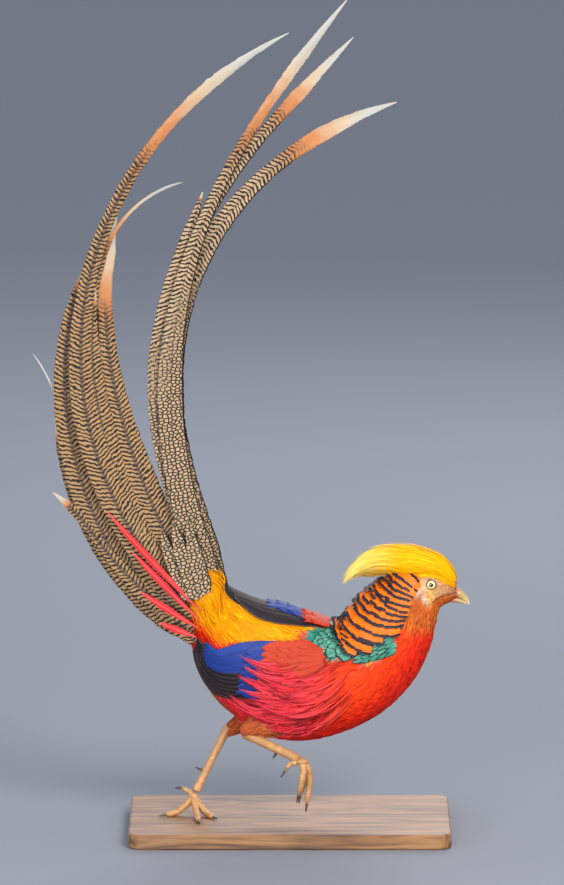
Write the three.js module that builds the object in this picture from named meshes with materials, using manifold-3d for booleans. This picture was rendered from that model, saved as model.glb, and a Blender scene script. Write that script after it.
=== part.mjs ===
// A male golden pheasant, life size, caught at a run with its tail raised, on a flat wooden base.
// Millimetres, +Z up. The bill points along +X and the bird's left side faces +Y.
// The origin is the middle of the underside of the base.

import * as THREE from 'three';
import { mergeVertices } from 'three/addons/utils/BufferGeometryUtils.js';
import Module from 'manifold-3d';

const wasm = await Module();
wasm.setup();

// Driving dimensions

const GAP = 0.3;
const BASE = { length: 360, width: 210, height: 17, corner: 14, bevel: 2 };
const SOLE = BASE.height + GAP;

// Cross-sections of the body, from the rounded end under the tail to the foot of the bill.
// Each has its middle, its lean forward and roll to the right in degrees, and half its depth and width.
const FIRST_SECTION = -2;
const SECTIONS = [
  { x: -106, y: -32, z: 288, lean: 40, roll: 22, deep: 13, wide: 10 },
  { x: -99, y: -27.5, z: 272, lean: 37, roll: 22, deep: 31, wide: 24 },
  { x: -90, y: -18.3, z: 248, lean: 33, roll: 22, deep: 38.5, wide: 33.5 },
  { x: -65.5, y: -4, z: 213, lean: 27, roll: 22, deep: 59, wide: 48 },
  { x: -32, y: 5.5, z: 189, lean: 17, roll: 22, deep: 72, wide: 57.5 },
  { x: 4.5, y: 12.2, z: 173, lean: 7, roll: 22, deep: 75.5, wide: 60.5 },
  { x: 43, y: 12.7, z: 171.5, lean: -5, roll: 22, deep: 68, wide: 54.5 },
  { x: 82, y: 7.5, z: 184.5, lean: -23, roll: 21, deep: 56.5, wide: 45 },
  { x: 107.5, y: -4.3, z: 213.5, lean: -34, roll: 19, deep: 53, wide: 40 },
  { x: 125.5, y: -15.6, z: 241.5, lean: -42, roll: 16, deep: 44, wide: 33 },
  { x: 137.5, y: -23, z: 264.5, lean: -47, roll: 12, deep: 33.5, wide: 24 },
  { x: 145, y: -24, z: 276.5, lean: -44, roll: 8, deep: 30, wide: 19 },
  { x: 154.5, y: -24, z: 283, lean: -31, roll: 4, deep: 26.5, wide: 17 },
  { x: 166, y: -24, z: 285, lean: -20, roll: 1, deep: 22.5, wide: 15.5 },
  { x: 177, y: -24, z: 284, lean: -10, roll: 0, deep: 17.5, wide: 12.5 },
  { x: 184, y: -24, z: 281, lean: -5, roll: 0, deep: 12, wide: 8.5 },
  { x: 187, y: -24, z: 277.5, lean: 0, roll: 0, deep: 7.3, wide: 5.5 },
];
const LAST_SECTION = FIRST_SECTION + SECTIONS.length - 1;

// Where the body is parted, as places along the sections.
const PART_TAIL_FAN = -0.35;
const PART_TAIL_BASE = 0.55;
const PART_NECK = 5.7;
const PART_HEAD = 8.5;

// Small helpers for vectors and smooth values

const vec = (x, y, z) => new THREE.Vector3(x, y, z);
const radians = THREE.MathUtils.degToRad;
const mix = THREE.MathUtils.lerp;

// A smooth value of one key of a list of stations, at a place counted in stations from the first.
function smooth(list, key, place) {
  const last = list.length - 1;
  const u = THREE.MathUtils.clamp(place, 0, last);
  const i = Math.min(Math.floor(u), last - 1);
  const f = u - i;
  const [a, b, c, d] = [i - 1, i, i + 1, i + 2].map(
    (j) => list[THREE.MathUtils.clamp(j, 0, last)][key],
  );
  const bend = (2 * a - 5 * b + 4 * c - d) * f * f + (3 * b - a - 3 * c + d) * f ** 3;
  return 0.5 * (2 * b + (c - a) * f + bend);
}

// The body's section at place t: its middle and its unit directions up, left and towards the bill.
function sectionAt(t) {
  const value = (key) => smooth(SECTIONS, key, t - FIRST_SECTION);
  const lean = radians(value('lean'));
  const roll = radians(value('roll'));
  const up = vec(Math.sin(lean), -Math.cos(lean) * Math.sin(roll), Math.cos(lean) * Math.cos(roll));
  const left = vec(0, Math.cos(roll), Math.sin(roll));
  return {
    middle: vec(value('x'), value('y'), value('z')),
    up,
    left,
    ahead: left.clone().cross(up),
    deep: value('deep'),
    wide: value('wide'),
  };
}

// A point of the body's surface. The angle is in degrees from the back, positive to the left.
// The lift is outwards.
function onBody(t, angle, lift = 0) {
  const s = sectionAt(t);
  const c = Math.cos(radians(angle));
  const k = Math.sin(radians(angle));
  const slope = Math.hypot(c / s.deep, k / s.wide);
  const high = s.deep * c + (lift * c) / s.deep / slope;
  const side = s.wide * k + (lift * k) / s.wide / slope;
  return s.middle.addScaledVector(s.up, high).addScaledVector(s.left, side);
}

// Closed meshes and solids

// A closed mesh through rings of points with the same count, with a flat end on the first and last ring.
// The points of a ring run clockwise, seen along the way from the first ring to the last.
function closeRings(rings) {
  const count = rings[0].length;
  const positions = [];
  const index = [];
  rings.flat().forEach((p) => positions.push(p.x, p.y, p.z));
  for (let i = 0; i < rings.length - 1; i += 1) {
    for (let j = 0; j < count; j += 1) {
      const a = i * count + j;
      const b = i * count + ((j + 1) % count);
      index.push(a, b, b + count, a, b + count, a + count);
    }
  }
  const last = (rings.length - 1) * count;
  for (let j = 1; j < count - 1; j += 1) {
    index.push(0, j + 1, j, last, last + j, last + j + 1);
  }
  return new THREE.BufferGeometry()
    .setAttribute('position', new THREE.Float32BufferAttribute(positions, 3))
    .setIndex(index);
}

// A solid from a closed mesh. Where the mesh is inside out, its faces are turned.
function solidOf(geometry) {
  const bare = geometry.clone();
  bare.deleteAttribute('normal');
  bare.deleteAttribute('uv');
  const merged = mergeVertices(bare, 1e-4);
  const vertProperties = merged.attributes.position.array;
  const triVerts = new Uint32Array(merged.index.array);
  const make = () => new wasm.Manifold(new wasm.Mesh({ numProp: 3, vertProperties, triVerts }));
  const made = make();
  if (made.volume() > 0) return made;
  triVerts.reverse();
  return make();
}

function geometryOf(solid) {
  const mesh = solid.getMesh();
  const positions = new Float32Array(mesh.numVert * 3);
  for (let i = 0; i < mesh.numVert; i += 1) {
    positions.set(mesh.vertProperties.subarray(i * mesh.numProp, i * mesh.numProp + 3), i * 3);
  }
  return new THREE.BufferGeometry()
    .setAttribute('position', new THREE.BufferAttribute(positions, 3))
    .setIndex(new THREE.BufferAttribute(mesh.triVerts, 1));
}

const join = (solids) => solids.reduce((all, solid) => all.add(solid));
const largest = (solid) => solid.decompose().sort((a, b) => b.volume() - a.volume())[0];

// A closed tube with round sections. Each station has its middle, and half its depth and width.
function tube(stations, { around = 10, steps = 3, grow = 0 } = {}) {
  const places = (stations.length - 1) * steps;
  const value = (key, i) => smooth(stations, key, i / steps);
  const middleOf = (_, i) => vec(value('x', i), value('y', i), value('z', i));
  const middles = Array.from({ length: places + 1 }, middleOf);
  const rings = middles.map((middle, i) => {
    const way = middles[Math.min(i + 1, places)].clone().sub(middles[Math.max(i - 1, 0)]).normalize();
    const side = vec(0, 1, 0).addScaledVector(way, -way.y).normalize();
    const up = way.clone().cross(side);
    const stretch = i === 0 ? -grow : i === places ? grow : 0;
    return Array.from({ length: around }, (_, j) => {
      const angle = (-2 * Math.PI * j) / around;
      return middle
        .clone()
        .addScaledVector(up, (value('deep', i) + grow) * Math.cos(angle))
        .addScaledVector(side, (value('wide', i) + grow) * Math.sin(angle))
        .addScaledVector(way, stretch);
    });
  });
  return solidOf(closeRings(rings));
}

// A flat-sided block between two faces; at(u, v, outer) gives a point of the inner or the outer face.
// Both faces are split into triangles alike, so that a thin one never crosses itself.
function slab(across, along, at) {
  const positions = [];
  const index = [];
  const stride = along + 1;
  const faceSize = (across + 1) * stride;
  [0, 1].forEach((outer) => {
    for (let i = 0; i <= across; i += 1) {
      for (let j = 0; j <= along; j += 1) {
        const p = at(i / across, j / along, outer);
        positions.push(p.x, p.y, p.z);
      }
    }
  });
  const quad = (a, b, c, d) => index.push(a, b, c, a, c, d);
  for (let i = 0; i < across; i += 1) {
    for (let j = 0; j < along; j += 1) {
      const a = i * stride + j;
      const [b, c, d] = [a + stride, a + stride + 1, a + 1];
      index.push(a, c, b, a, d, c);
      index.push(...[a, b, c, a, c, d].map((n) => n + faceSize));
    }
  }
  for (let i = 0; i < across; i += 1) {
    const near = i * stride;
    const far = near + along;
    quad(near, near + stride, near + stride + faceSize, near + faceSize);
    quad(far + stride, far, far + faceSize, far + stride + faceSize);
  }
  for (let j = 0; j < along; j += 1) {
    const low = across * stride + j;
    quad(j + 1, j, j + faceSize, j + 1 + faceSize);
    quad(low, low + 1, low + 1 + faceSize, low + faceSize);
  }
  return solidOf(new THREE.BufferGeometry()
    .setAttribute('position', new THREE.Float32BufferAttribute(positions, 3))
    .setIndex(index));
}

// The whole body between two places, as far out as lift.
function bodyBetween(from, to, { perSection = 2, around = 20, lift = 0 } = {}) {
  const steps = Math.round((to - from) * perSection);
  const rings = Array.from({ length: steps + 1 }, (_, i) =>
    Array.from({ length: around }, (__, j) =>
      onBody(mix(from, to, i / steps), (-360 * j) / around, lift)));
  return solidOf(closeRings(rings));
}

// A thin square plate across the body at place t, for parting it.
function cutAcross(t, thick = GAP) {
  const size = 400;
  const s = sectionAt(t);
  const turn = new THREE.Matrix4().makeBasis(s.ahead, s.left, s.up).setPosition(s.middle);
  return solidOf(new THREE.BoxGeometry(thick, size, size).applyMatrix4(turn));
}

// Thin strip of feather through frames: each has its middle p, unit directions across and out, half its
// width, its thickness and its camber, the height of its middle line above its edges.
function strip(frames, columns = 1) {
  const steps = frames.length - 1;
  return slab(columns, steps, (u, v, outer) => {
    const f = frames[Math.round(v * steps)];
    const inMiddle = columns > 1 ? 1 - Math.abs(2 * u - 1) : 0;
    return f.p
      .clone()
      .addScaledVector(f.across, (1 - 2 * u) * f.half)
      .addScaledVector(f.out, (outer ? f.thick : -f.thick) / 2 + (f.camber || 0) * inMiddle);
  });
}

// How a feather's half width runs from root to tip, at s from 0 to 1, for the blunt and the pointed kinds.
const BLUNT = [0.55, 0.9, 1, 0.72];
const POINTED = [0.6, 1, 0.85, 0.5, 0.12];
const profile = (list, s) => {
  const u = s * (list.length - 1);
  const i = Math.min(Math.floor(u), list.length - 2);
  return mix(list[i], list[i + 1], u - i);
};

// Directions across and out, turned about the feather's own way by the tilt in degrees.
const tilted = (across, out, tilt) => {
  const [c, k] = [Math.cos(radians(tilt)), Math.sin(radians(tilt))];
  return {
    across: across.clone().multiplyScalar(c).addScaledVector(out, k),
    out: out.clone().multiplyScalar(c).addScaledVector(across, -k),
  };
};
const TILE_TILT = 6;

// The body's surface near a place: its point, its outward, backward and sideways directions, and how far
// one unit of place and one degree of angle reach.
function surfaceAt(t, angle, on = onBody) {
  const d = 0.02;
  const p = on(t, angle);
  const byPlace = on(t + d, angle).sub(on(t - d, angle)).divideScalar(2 * d);
  const byAngle = on(t, angle + 1).sub(on(t, angle - 1)).divideScalar(2);
  const out = on(t, angle, 1).sub(p);
  const normal = byAngle.clone().cross(byPlace).normalize();
  if (normal.dot(out) < 0) normal.negate();
  const back = byPlace.clone().negate().normalize();
  const side = byAngle.clone().addScaledVector(back, -byAngle.dot(back)).normalize();
  return { p, normal, back, side, byPlace, byAngle };
}

// A feather that grows from the body at (t, angle) and lies along it. Heading is in degrees from straight
// back, positive away from the back's midline; lifts are its heights above the surface from root to tip.
function feather({ t, angle, length, half, heading = 0, lifts, tilt = 0, shape = BLUNT, thick = 0.8 }) {
  const steps = shape.length - 1;
  const sign = angle < 0 ? -1 : 1;
  const turn = radians(heading) * sign;
  const frames = [];
  let [place, bearing] = [t, angle];
  for (let i = 0; i <= steps; i += 1) {
    const f = surfaceAt(place, bearing);
    const way = f.back.clone().multiplyScalar(Math.cos(turn)).addScaledVector(f.side, Math.sin(turn));
    const s = i / steps;
    const side = way.clone().cross(f.normal).normalize();
    frames.push({
      p: f.p.clone().addScaledVector(f.normal, profile(lifts, s)),
      ...tilted(side, f.normal, tilt),
      half: half * shape[i],
      thick: thick * mix(1, 0.75, s),
    });
    const step = way.multiplyScalar(length / steps);
    const [a, b, c] = [f.byPlace.dot(f.byPlace), f.byPlace.dot(f.byAngle), f.byAngle.dot(f.byAngle)];
    const [m, n] = [step.dot(f.byPlace), step.dot(f.byAngle)];
    place += (m * c - n * b) / (a * c - b * b);
    bearing += (n * a - m * b) / (a * c - b * b);
  }
  return strip(frames);
}

// A row of feathers across the back, evenly from one side to the other. The middle one lies on top, and
// each of the others has its outer edge raised over the next, like tiles.
function featherRow({ t, reach, count, middle = 0, fan = 0, tilt = TILE_TILT, ...rest }) {
  return Array.from({ length: count }, (_, i) => {
    const u = count > 1 ? (2 * i) / (count - 1) - 1 : 0;
    const angle = middle + reach * u;
    return feather({ t, angle, heading: fan * Math.abs(u), tilt: -Math.sign(u) * tilt, ...rest });
  });
}

const group = new THREE.Group();

function addNode(parent, name, solid, colour, roughness) {
  const material = new THREE.MeshStandardMaterial({ color: colour, roughness, metalness: 0 });
  const mesh = new THREE.Mesh(geometryOf(largest(solid)), material);
  mesh.name = name;
  parent.add(mesh);
  return mesh;
}

function addGroup() {
  const made = new THREE.Group();
  group.add(made);
  return made;
}

// Base: a plain board with round corners and a small bevel

function makeBase() {
  const { length, width, height, corner, bevel } = BASE;
  const x = length / 2 - bevel;
  const y = width / 2 - bevel;
  const outline = new THREE.Shape();
  outline.moveTo(-x + corner, -y);
  outline.lineTo(x - corner, -y);
  outline.absarc(x - corner, -y + corner, corner, -Math.PI / 2, 0);
  outline.lineTo(x, y - corner);
  outline.absarc(x - corner, y - corner, corner, 0, Math.PI / 2);
  outline.lineTo(-x + corner, y);
  outline.absarc(-x + corner, y - corner, corner, Math.PI / 2, Math.PI);
  outline.lineTo(-x, -y + corner);
  outline.absarc(-x + corner, -y + corner, corner, Math.PI, Math.PI * 1.5);
  const board = new THREE.ExtrudeGeometry(outline, {
    depth: height - 2 * bevel,
    bevelEnabled: true,
    bevelSegments: 1,
    bevelSize: bevel,
    bevelThickness: bevel,
    curveSegments: 3,
  });
  return solidOf(board.translate(0, 0, bevel));
}

addNode(group, 'stand_base', makeBase(), 0x8a5f3c, 0.5);

// Body: one loft from tail to bill, parted with thin cuts

const BILL_ROOT = LAST_SECTION;
const whole = bodyBetween(FIRST_SECTION, BILL_ROOT);
const cuts = [PART_TAIL_FAN, PART_TAIL_BASE, PART_NECK, PART_HEAD].map((t) => cutAcross(t));
const pieces = cuts.reduce((rest, cut) => rest.subtract(cut), whole).decompose();
const middleX = (solid) => {
  const box = solid.boundingBox();
  return (box.min[0] + box.max[0]) / 2;
};
pieces.sort((a, b) => middleX(a) - middleX(b));
const [fanCore, tailBaseCore, torsoCore, neckCore, headCore] = pieces;

// Head: sockets, lids and the bill's seat

const EYE = { radius: 6, place: 10.45, angle: 78, depth: 3.6, lid: 1.3 };

function eyeBall(side, grow = 0) {
  const at = onBody(EYE.place, side * EYE.angle, -EYE.depth);
  return solidOf(new THREE.SphereGeometry(EYE.radius + grow, 12, 8).translate(at.x, at.y, at.z));
}

function eyeLid(side) {
  const from = onBody(EYE.place, side * EYE.angle, -EYE.depth);
  const out = onBody(EYE.place, side * EYE.angle, 0).sub(from).normalize();
  const turn = new THREE.Quaternion().setFromUnitVectors(vec(0, 0, 1), out);
  const ring = new THREE.TorusGeometry(EYE.radius - 0.6, EYE.lid, 4, 10)
    .applyQuaternion(turn)
    .translate(...from.clone().addScaledVector(out, EYE.depth - 0.4).toArray());
  return solidOf(ring);
}

const BEAK_UPPER = [
  { x: 181, y: -24, z: 278.5, deep: 5.6, wide: 6.2 },
  { x: 187, y: -24, z: 276.3, deep: 5, wide: 5.2 },
  { x: 192, y: -24, z: 272.8, deep: 4.3, wide: 4.2 },
  { x: 196.2, y: -24, z: 268.6, deep: 3.2, wide: 3 },
  { x: 198.8, y: -24, z: 265, deep: 1.8, wide: 1.7 },
  { x: 199.5, y: -24, z: 262.4, deep: 0.4, wide: 0.4 },
];
const BEAK_LOWER = [
  { x: 180, y: -24, z: 269.2, deep: 3.6, wide: 5 },
  { x: 186, y: -24, z: 268.4, deep: 3.4, wide: 4.4 },
  { x: 191, y: -24, z: 266.9, deep: 2.7, wide: 3.4 },
  { x: 194.8, y: -24, z: 265.2, deep: 1.7, wide: 2 },
  { x: 196.8, y: -24, z: 264, deep: 0.7, wide: 0.8 },
];

const headGroup = addGroup();
const headGrown = bodyBetween(7, BILL_ROOT, { lift: 2 * GAP });
const upper = tube(BEAK_UPPER, { around: 10, steps: 2 });
const upperGrown = tube(BEAK_UPPER, { around: 10, steps: 2, grow: GAP });
const lower = tube(BEAK_LOWER, { around: 8, steps: 2 });
const head = join([headCore, eyeLid(1), eyeLid(-1)])
  .subtract(eyeBall(1, GAP))
  .subtract(eyeBall(-1, GAP))
  .subtract(upperGrown)
  .subtract(tube(BEAK_LOWER, { around: 8, steps: 2, grow: GAP }));
addNode(headGroup, 'head', head, 0xd98a3a, 0.85);
addNode(headGroup, 'eye_left', eyeBall(1), 0xf3e6a0, 0.1);
addNode(headGroup, 'eye_right', eyeBall(-1), 0xf3e6a0, 0.1);
addNode(headGroup, 'beak_upper', upper, 0xd9a860, 0.4);
addNode(headGroup, 'beak_lower', lower.subtract(upperGrown), 0xd9a860, 0.4);

// Crest: a core over the crown, with silky locks that sweep back from the brow and fall behind the head

const CREST = [
  { x: 184, y: -24, z: 288.5, deep: 3, wide: 5.5 },
  { x: 177.5, y: -24, z: 294.5, deep: 8.5, wide: 10.5 },
  { x: 163, y: -24, z: 306, deep: 13, wide: 14.5 },
  { x: 143, y: -24, z: 311, deep: 16, wide: 16.5 },
  { x: 123, y: -24, z: 312.5, deep: 17, wide: 16 },
  { x: 105, y: -24, z: 314.5, deep: 14, wide: 12.5 },
  { x: 88, y: -24, z: 311.5, deep: 9.5, wide: 8.5 },
  { x: 72.5, y: -24, z: 302.5, deep: 5, wide: 4.5 },
  { x: 59, y: -24, z: 287.5, deep: 0.9, wide: 0.9 },
];
const CREST_LOCKS = [
  { from: 1.2, to: 5.0, reach: 66, count: 4, half: 4.2 },
  { from: 2.7, to: 6.6, reach: 96, count: 4, half: 4.6 },
  { from: 4.3, to: 8.3, reach: 130, count: 4, half: 4.4 },
];
const CREST_LIFTS = [-1.2, 1.4, 2.6, 3.4, 3.4];

function onCrest(place, angle, lift = 0) {
  const value = (key) => smooth(CREST, key, place);
  const ahead = vec(
    smooth(CREST, 'x', place + 0.05) - smooth(CREST, 'x', place - 0.05),
    0,
    smooth(CREST, 'z', place + 0.05) - smooth(CREST, 'z', place - 0.05),
  ).normalize();
  const up = ahead.clone().cross(vec(0, 1, 0)).negate();
  const a = radians(angle);
  return vec(value('x'), value('y'), value('z'))
    .addScaledVector(up, (value('deep') + lift) * Math.cos(a))
    .addScaledVector(vec(0, 1, 0), (value('wide') + lift) * Math.sin(a));
}

function crestLock(from, to, angle, half) {
  const steps = POINTED.length - 1;
  const frames = POINTED.map((width, i) => {
    const s = i / steps;
    const f = surfaceAt(mix(from, to, s), angle, onCrest);
    const p = onCrest(mix(from, to, s), angle, profile(CREST_LIFTS, s));
    const turned = tilted(f.side, f.normal, Math.sign(angle) * TILE_TILT);
    return { p, ...turned, half: half * width, thick: mix(1, 0.7, s) };
  });
  return strip(frames);
}

const crestLocks = CREST_LOCKS.flatMap(({ from, to, reach, count, half }) =>
  Array.from({ length: count }, (_, i) => {
    const angle = mix(-reach, reach, i / (count - 1));
    const shorter = 0.35 * Math.abs(angle / 140);
    return crestLock(from, to - shorter, angle, half);
  }));
const crest = join([tube(CREST, { around: 10, steps: 1 }), ...crestLocks]).subtract(headGrown);

// Neck with its cape: rows of broad, blunt feathers that overlap like tiles over the shoulders.
// Where they lie over the torso they stay above its mantle.

const CAPE_ROWS = [
  { t: 5.84, reach: 68, count: 7, length: 37, half: 11, lifts: [-1.5, 5, 6.2, 7] },
  { t: 6.3, reach: 71, count: 7, length: 39, half: 11.5, lifts: [-1.5, 3, 7.6, 9.6] },
  { t: 6.9, reach: 69, count: 5, length: 38, half: 11.5, lifts: [-1.5, 2.2, 6, 10] },
  { t: 7.55, reach: 62, count: 5, length: 34, half: 10.5, lifts: [-1.5, 2, 5.8, 9.6] },
  { t: 8.18, reach: 52, count: 4, length: 27, half: 9, lifts: [-1.5, 1.8, 5, 8] },
];
const MANTLE_FRONT = { t: 6.3, reach: 98, count: 2, length: 24, half: 9, lifts: [-1.2, 1, 2, 2.4] };

const neckGroup = addGroup();
const capeFeathers = CAPE_ROWS.flatMap((row) => featherRow({ ...row, fan: 6 }));
const neck = join([neckCore, ...capeFeathers, ...featherRow(MANTLE_FRONT)]);
addNode(neckGroup, 'neck', neck, 0xe8902a, 0.8);
addNode(headGroup, 'crest', crest, 0xf2c21c, 0.7);

// Torso: the trunk with its mantle of rounded feathers and the long loose plumes of its flanks

const MANTLE_ROWS = [
  { t: 4.45, reach: 34, count: 3, length: 20, half: 11, tilt: 4, lifts: [-1.2, 0.8, 1.8, 2.4] },
  { t: 4.9, reach: 54, count: 5, length: 26, half: 12, tilt: 4, lifts: [-1.2, 0.8, 2, 3] },
  { t: 5.4, reach: 74, count: 5, length: 24, half: 12, tilt: 4, lifts: [-1.2, 0.8, 1.8, 2.4] },
];
// A flank plume runs from root to tip. Each is a place along the body and an angle down from the back.
const FLANK_PLUMES = [
  { from: [4.6, 60], to: [1.75, 58] },
  { from: [4.45, 69], to: [1.5, 69] },
  { from: [4.2, 78], to: [1.4, 80] },
  { from: [3.9, 87], to: [1.3, 92] },
  { from: [3.5, 96], to: [1.25, 105] },
];
const PLUME = { half: 5, thick: 1.1, lifts: [-1.5, 7, 11.4, 11.4, 10.6] };

function flankPlume({ from, to }, side) {
  const steps = POINTED.length - 1;
  return strip(POINTED.map((width, k) => {
    const s = k / steps;
    const t = mix(from[0], to[0], s);
    const angle = side * (mix(from[1], to[1], s) - 3 * Math.sin(Math.PI * s));
    const f = surfaceAt(t, angle);
    const p = f.p.clone().addScaledVector(f.normal, profile(PLUME.lifts, s));
    const turned = tilted(f.side, f.normal, side * TILE_TILT);
    return { p, ...turned, half: PLUME.half * width, thick: PLUME.thick };
  }));
}

const torsoGrown = bodyBetween(0, 6, { lift: GAP });
const bodyGroup = addGroup();
const mantle = MANTLE_ROWS.flatMap((row) => featherRow({ ...row, fan: 8 }));
const plumes = [-1, 1].flatMap((side) => FLANK_PLUMES.map((plume) => flankPlume(plume, side)));
addNode(bodyGroup, 'torso', join([torsoCore, ...mantle, ...plumes]), 0xd8321f, 0.85);

// Wings: each is a thin core along the flank, between its upper and lower edge, under tiers of feathers.
// The tiers run from the shoulder to the tip: scapulars, coverts, tertials, and the flight feathers.

const WING_FRONT = 3.66;
const WING_TIP = 0.42;
const WING_RIGHT = [
  { upper: -96, lower: -146 },
  { upper: -64, lower: -134 },
  { upper: -50, lower: -108 },
  { upper: -42, lower: -94 },
  { upper: -36, lower: -82 },
  { upper: -28, lower: -70 },
  { upper: -32, lower: -56 },
];
const WING_LEFT = [
  { upper: -10, lower: 38 },
  { upper: -16, lower: 58 },
  { upper: -16, lower: 76 },
  { upper: -13, lower: 82 },
  { upper: -8, lower: 80 },
  { upper: -1, lower: 70 },
  { upper: 14, lower: 56 },
];
const WING = { inner: 1.7, thick: 2.7, rim: 0.9, span: 24, along: 7 };
const WING_TIERS = [
  { at: 0.78, count: 3, length: 44, half: 10, spread: [0.2, 0.8] },
  { at: 0.56, count: 3, length: 50, half: 12, spread: [0.18, 0.82] },
  { at: 0.34, count: 3, length: 54, half: 12.5, spread: [0.16, 0.84] },
  { at: 0.15, count: 3, length: 42, half: 12, spread: [0.14, 0.86] },
];
const WING_LIFTS = [2.6, 4.2, 5.2, 5.9, 6.4];
const VANE = [0.6, 0.95, 1, 0.85, 0.4];

// The angle of a wing at v from tip to front, and u from its upper to its lower edge.
const wingAngle = (edges, u, v) => {
  const place = v * (edges.length - 1);
  return mix(smooth(edges, 'upper', place), smooth(edges, 'lower', place), u);
};

function wingCore(edges, grow = 0) {
  const side = Math.sign(edges[1].lower);
  const columns = Math.round(Math.max(...edges.map((e) => Math.abs(e.upper - e.lower))) / WING.span);
  return slab(columns, WING.along, (u, v, outer) => {
    const rim = Math.min(1, 3 * Math.min(u, 1 - u), 5 * Math.min(v, 1 - v));
    const lift = outer ? WING.inner + mix(WING.rim, WING.thick, rim) + grow : WING.inner - grow;
    return onBody(mix(WING_TIP, WING_FRONT, v), wingAngle(edges, u, v) + side * grow * (2 * u - 1), lift);
  });
}

// A wing feather keeps its share u of the wing's depth, so that the tiers close up towards the tip.
function wingFeather(edges, tier, i) {
  const u = mix(tier.spread[0], tier.spread[1], i / (tier.count - 1));
  const steps = VANE.length - 1;
  const frames = [];
  let v = tier.at;
  for (let k = 0; k <= steps; k += 1) {
    const s = k / steps;
    const t = mix(WING_TIP, WING_FRONT, v);
    const angle = wingAngle(edges, u, Math.max(v, 0));
    const f = surfaceAt(t, angle);
    frames.push({
      p: f.p.clone().addScaledVector(f.normal, profile(WING_LIFTS, s)),
      ...tilted(f.side, f.normal, Math.sign(edges[1].lower) * TILE_TILT),
      half: tier.half * VANE[k],
      thick: 0.8,
    });
    v -= tier.length / steps / f.byPlace.length() / (WING_FRONT - WING_TIP);
  }
  return strip(frames);
}

function wing(edges) {
  const feathers = WING_TIERS.flatMap((tier) =>
    Array.from({ length: tier.count }, (_, i) => wingFeather(edges, tier, i)));
  return join([wingCore(edges), ...feathers]).subtract(torsoGrown);
}

addNode(bodyGroup, 'wing_right', wing(WING_RIGHT), 0x1d3f9a, 0.6);
addNode(bodyGroup, 'wing_left', wing(WING_LEFT), 0x1d3f9a, 0.6);

// Tail: each long feather is one curve in an upright plane, from its root's heading to its tip's.
// The tables give its root (x, z), its length, its headings at root and tip in degrees above +X, how late
// it bends, its sway, its width, its layer (how far its plane lies left of the bird's middle), the side it
// faces, its shape and how far its plane drifts to the left on its way.

const TAIL_Y = -24;
const RIGHT = -1;
const LEFT = 1;

// Shares of its width that a feather has at places from root to tip. Drawn out, it is full over its lower
// third, slender above and a little broader again in its blade. Tapering, it stays full to its middle.
const DRAWN_OUT = [
  [0, 0.5], [0.08, 1], [0.35, 0.94], [0.62, 0.58], [0.78, 0.4], [0.88, 0.44], [0.96, 0.2], [1, 0.03],
];
const TAPERING = [
  [0, 0.5], [0.08, 1], [0.45, 1], [0.62, 0.87], [0.78, 0.66], [0.88, 0.45], [0.95, 0.24], [1, 0.03],
];
const asFeather = ([x, z, length, root, tip, late, sway, width, layer, faces, shape, drift = 0]) => (
  { x, z, length, root, tip, late, sway, width, layer, faces, shape, drift });

const CENTRAL = [
  [-88, 263, 478, 99, 71, 2.5, 8, 37, -9, RIGHT, TAPERING],
  [-74, 271, 737, 127, 51, 0.57, 4.1, 31, -14, RIGHT, DRAWN_OUT],
  [-75, 275, 701, 114, 46, 0.84, 8.3, 36, -4, LEFT, DRAWN_OUT],
  [-77, 269, 685, 113, 17, 1.26, 3.5, 38, 1, LEFT, DRAWN_OUT],
].map(asFeather);
const SIDE = [
  [-95, 249, 788, 138, 27, 0.98, 1.6, 33, -19, RIGHT, DRAWN_OUT],
  [-96, 255, 563, 137, 13, 1.72, -12.3, 30, -14, RIGHT, DRAWN_OUT],
  [-96, 255, 485, 116, 75, 1.81, 0.8, 36, -9, RIGHT, DRAWN_OUT],
  [-101, 242, 416, 141, 80, 0.77, -3.5, 34, -15, RIGHT, TAPERING],
  [-105, 233, 470, 152, 66, 0.87, -2.6, 31, -11, RIGHT, TAPERING],
  [-107, 223, 232, 124, 145, 1.39, 10.9, 24, -15, RIGHT, DRAWN_OUT],
  [-110, 230, 369, 102, 127, 0.48, 19.9, 18, -7, RIGHT, DRAWN_OUT],
  [-100, 245, 454, 155, 68, 0.8, -3, 33, 12, LEFT, TAPERING],
  [-97, 251, 403, 135, 77, 0.97, -7.5, 36, 8, LEFT, TAPERING],
  [-106, 226, 300, 160, 100, 0.6, 0, 26, 8, LEFT, TAPERING],
].map(asFeather);
const COVERTS = [
  [-92, 254, 162, 135, 131, 1, 0, 8, -33, RIGHT, TAPERING, 8],
  [-95, 246, 116, 137, 132, 1, 0, 8, -33, RIGHT, TAPERING, 7],
  [-97, 239, 84, 150, 146, 1, 0, 8, -33, RIGHT, TAPERING, 5],
  [-99, 230, 50, 160, 158, 1, 0, 8, -31, RIGHT, TAPERING, 3],
  [-92, 254, 150, 138, 132, 1, 0, 8, 30, LEFT, TAPERING, -8],
  [-96, 244, 110, 142, 136, 1, 0, 8, 29, LEFT, TAPERING, -7],
].map(asFeather);
const RUMP_ROWS = [
  { t: 0.3, middle: -30, reach: 92, count: 7, length: 28, half: 10, lifts: [-1.2, 1, 1.6, 2] },
];
const RECTRIX = { longStep: 105, edge: 0.7, shaft: 1.5, tilt: 12, camber: 1.2 };
const FAN_SPLIT = { x: -93.5, z: 259, heading: 112 };

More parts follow.
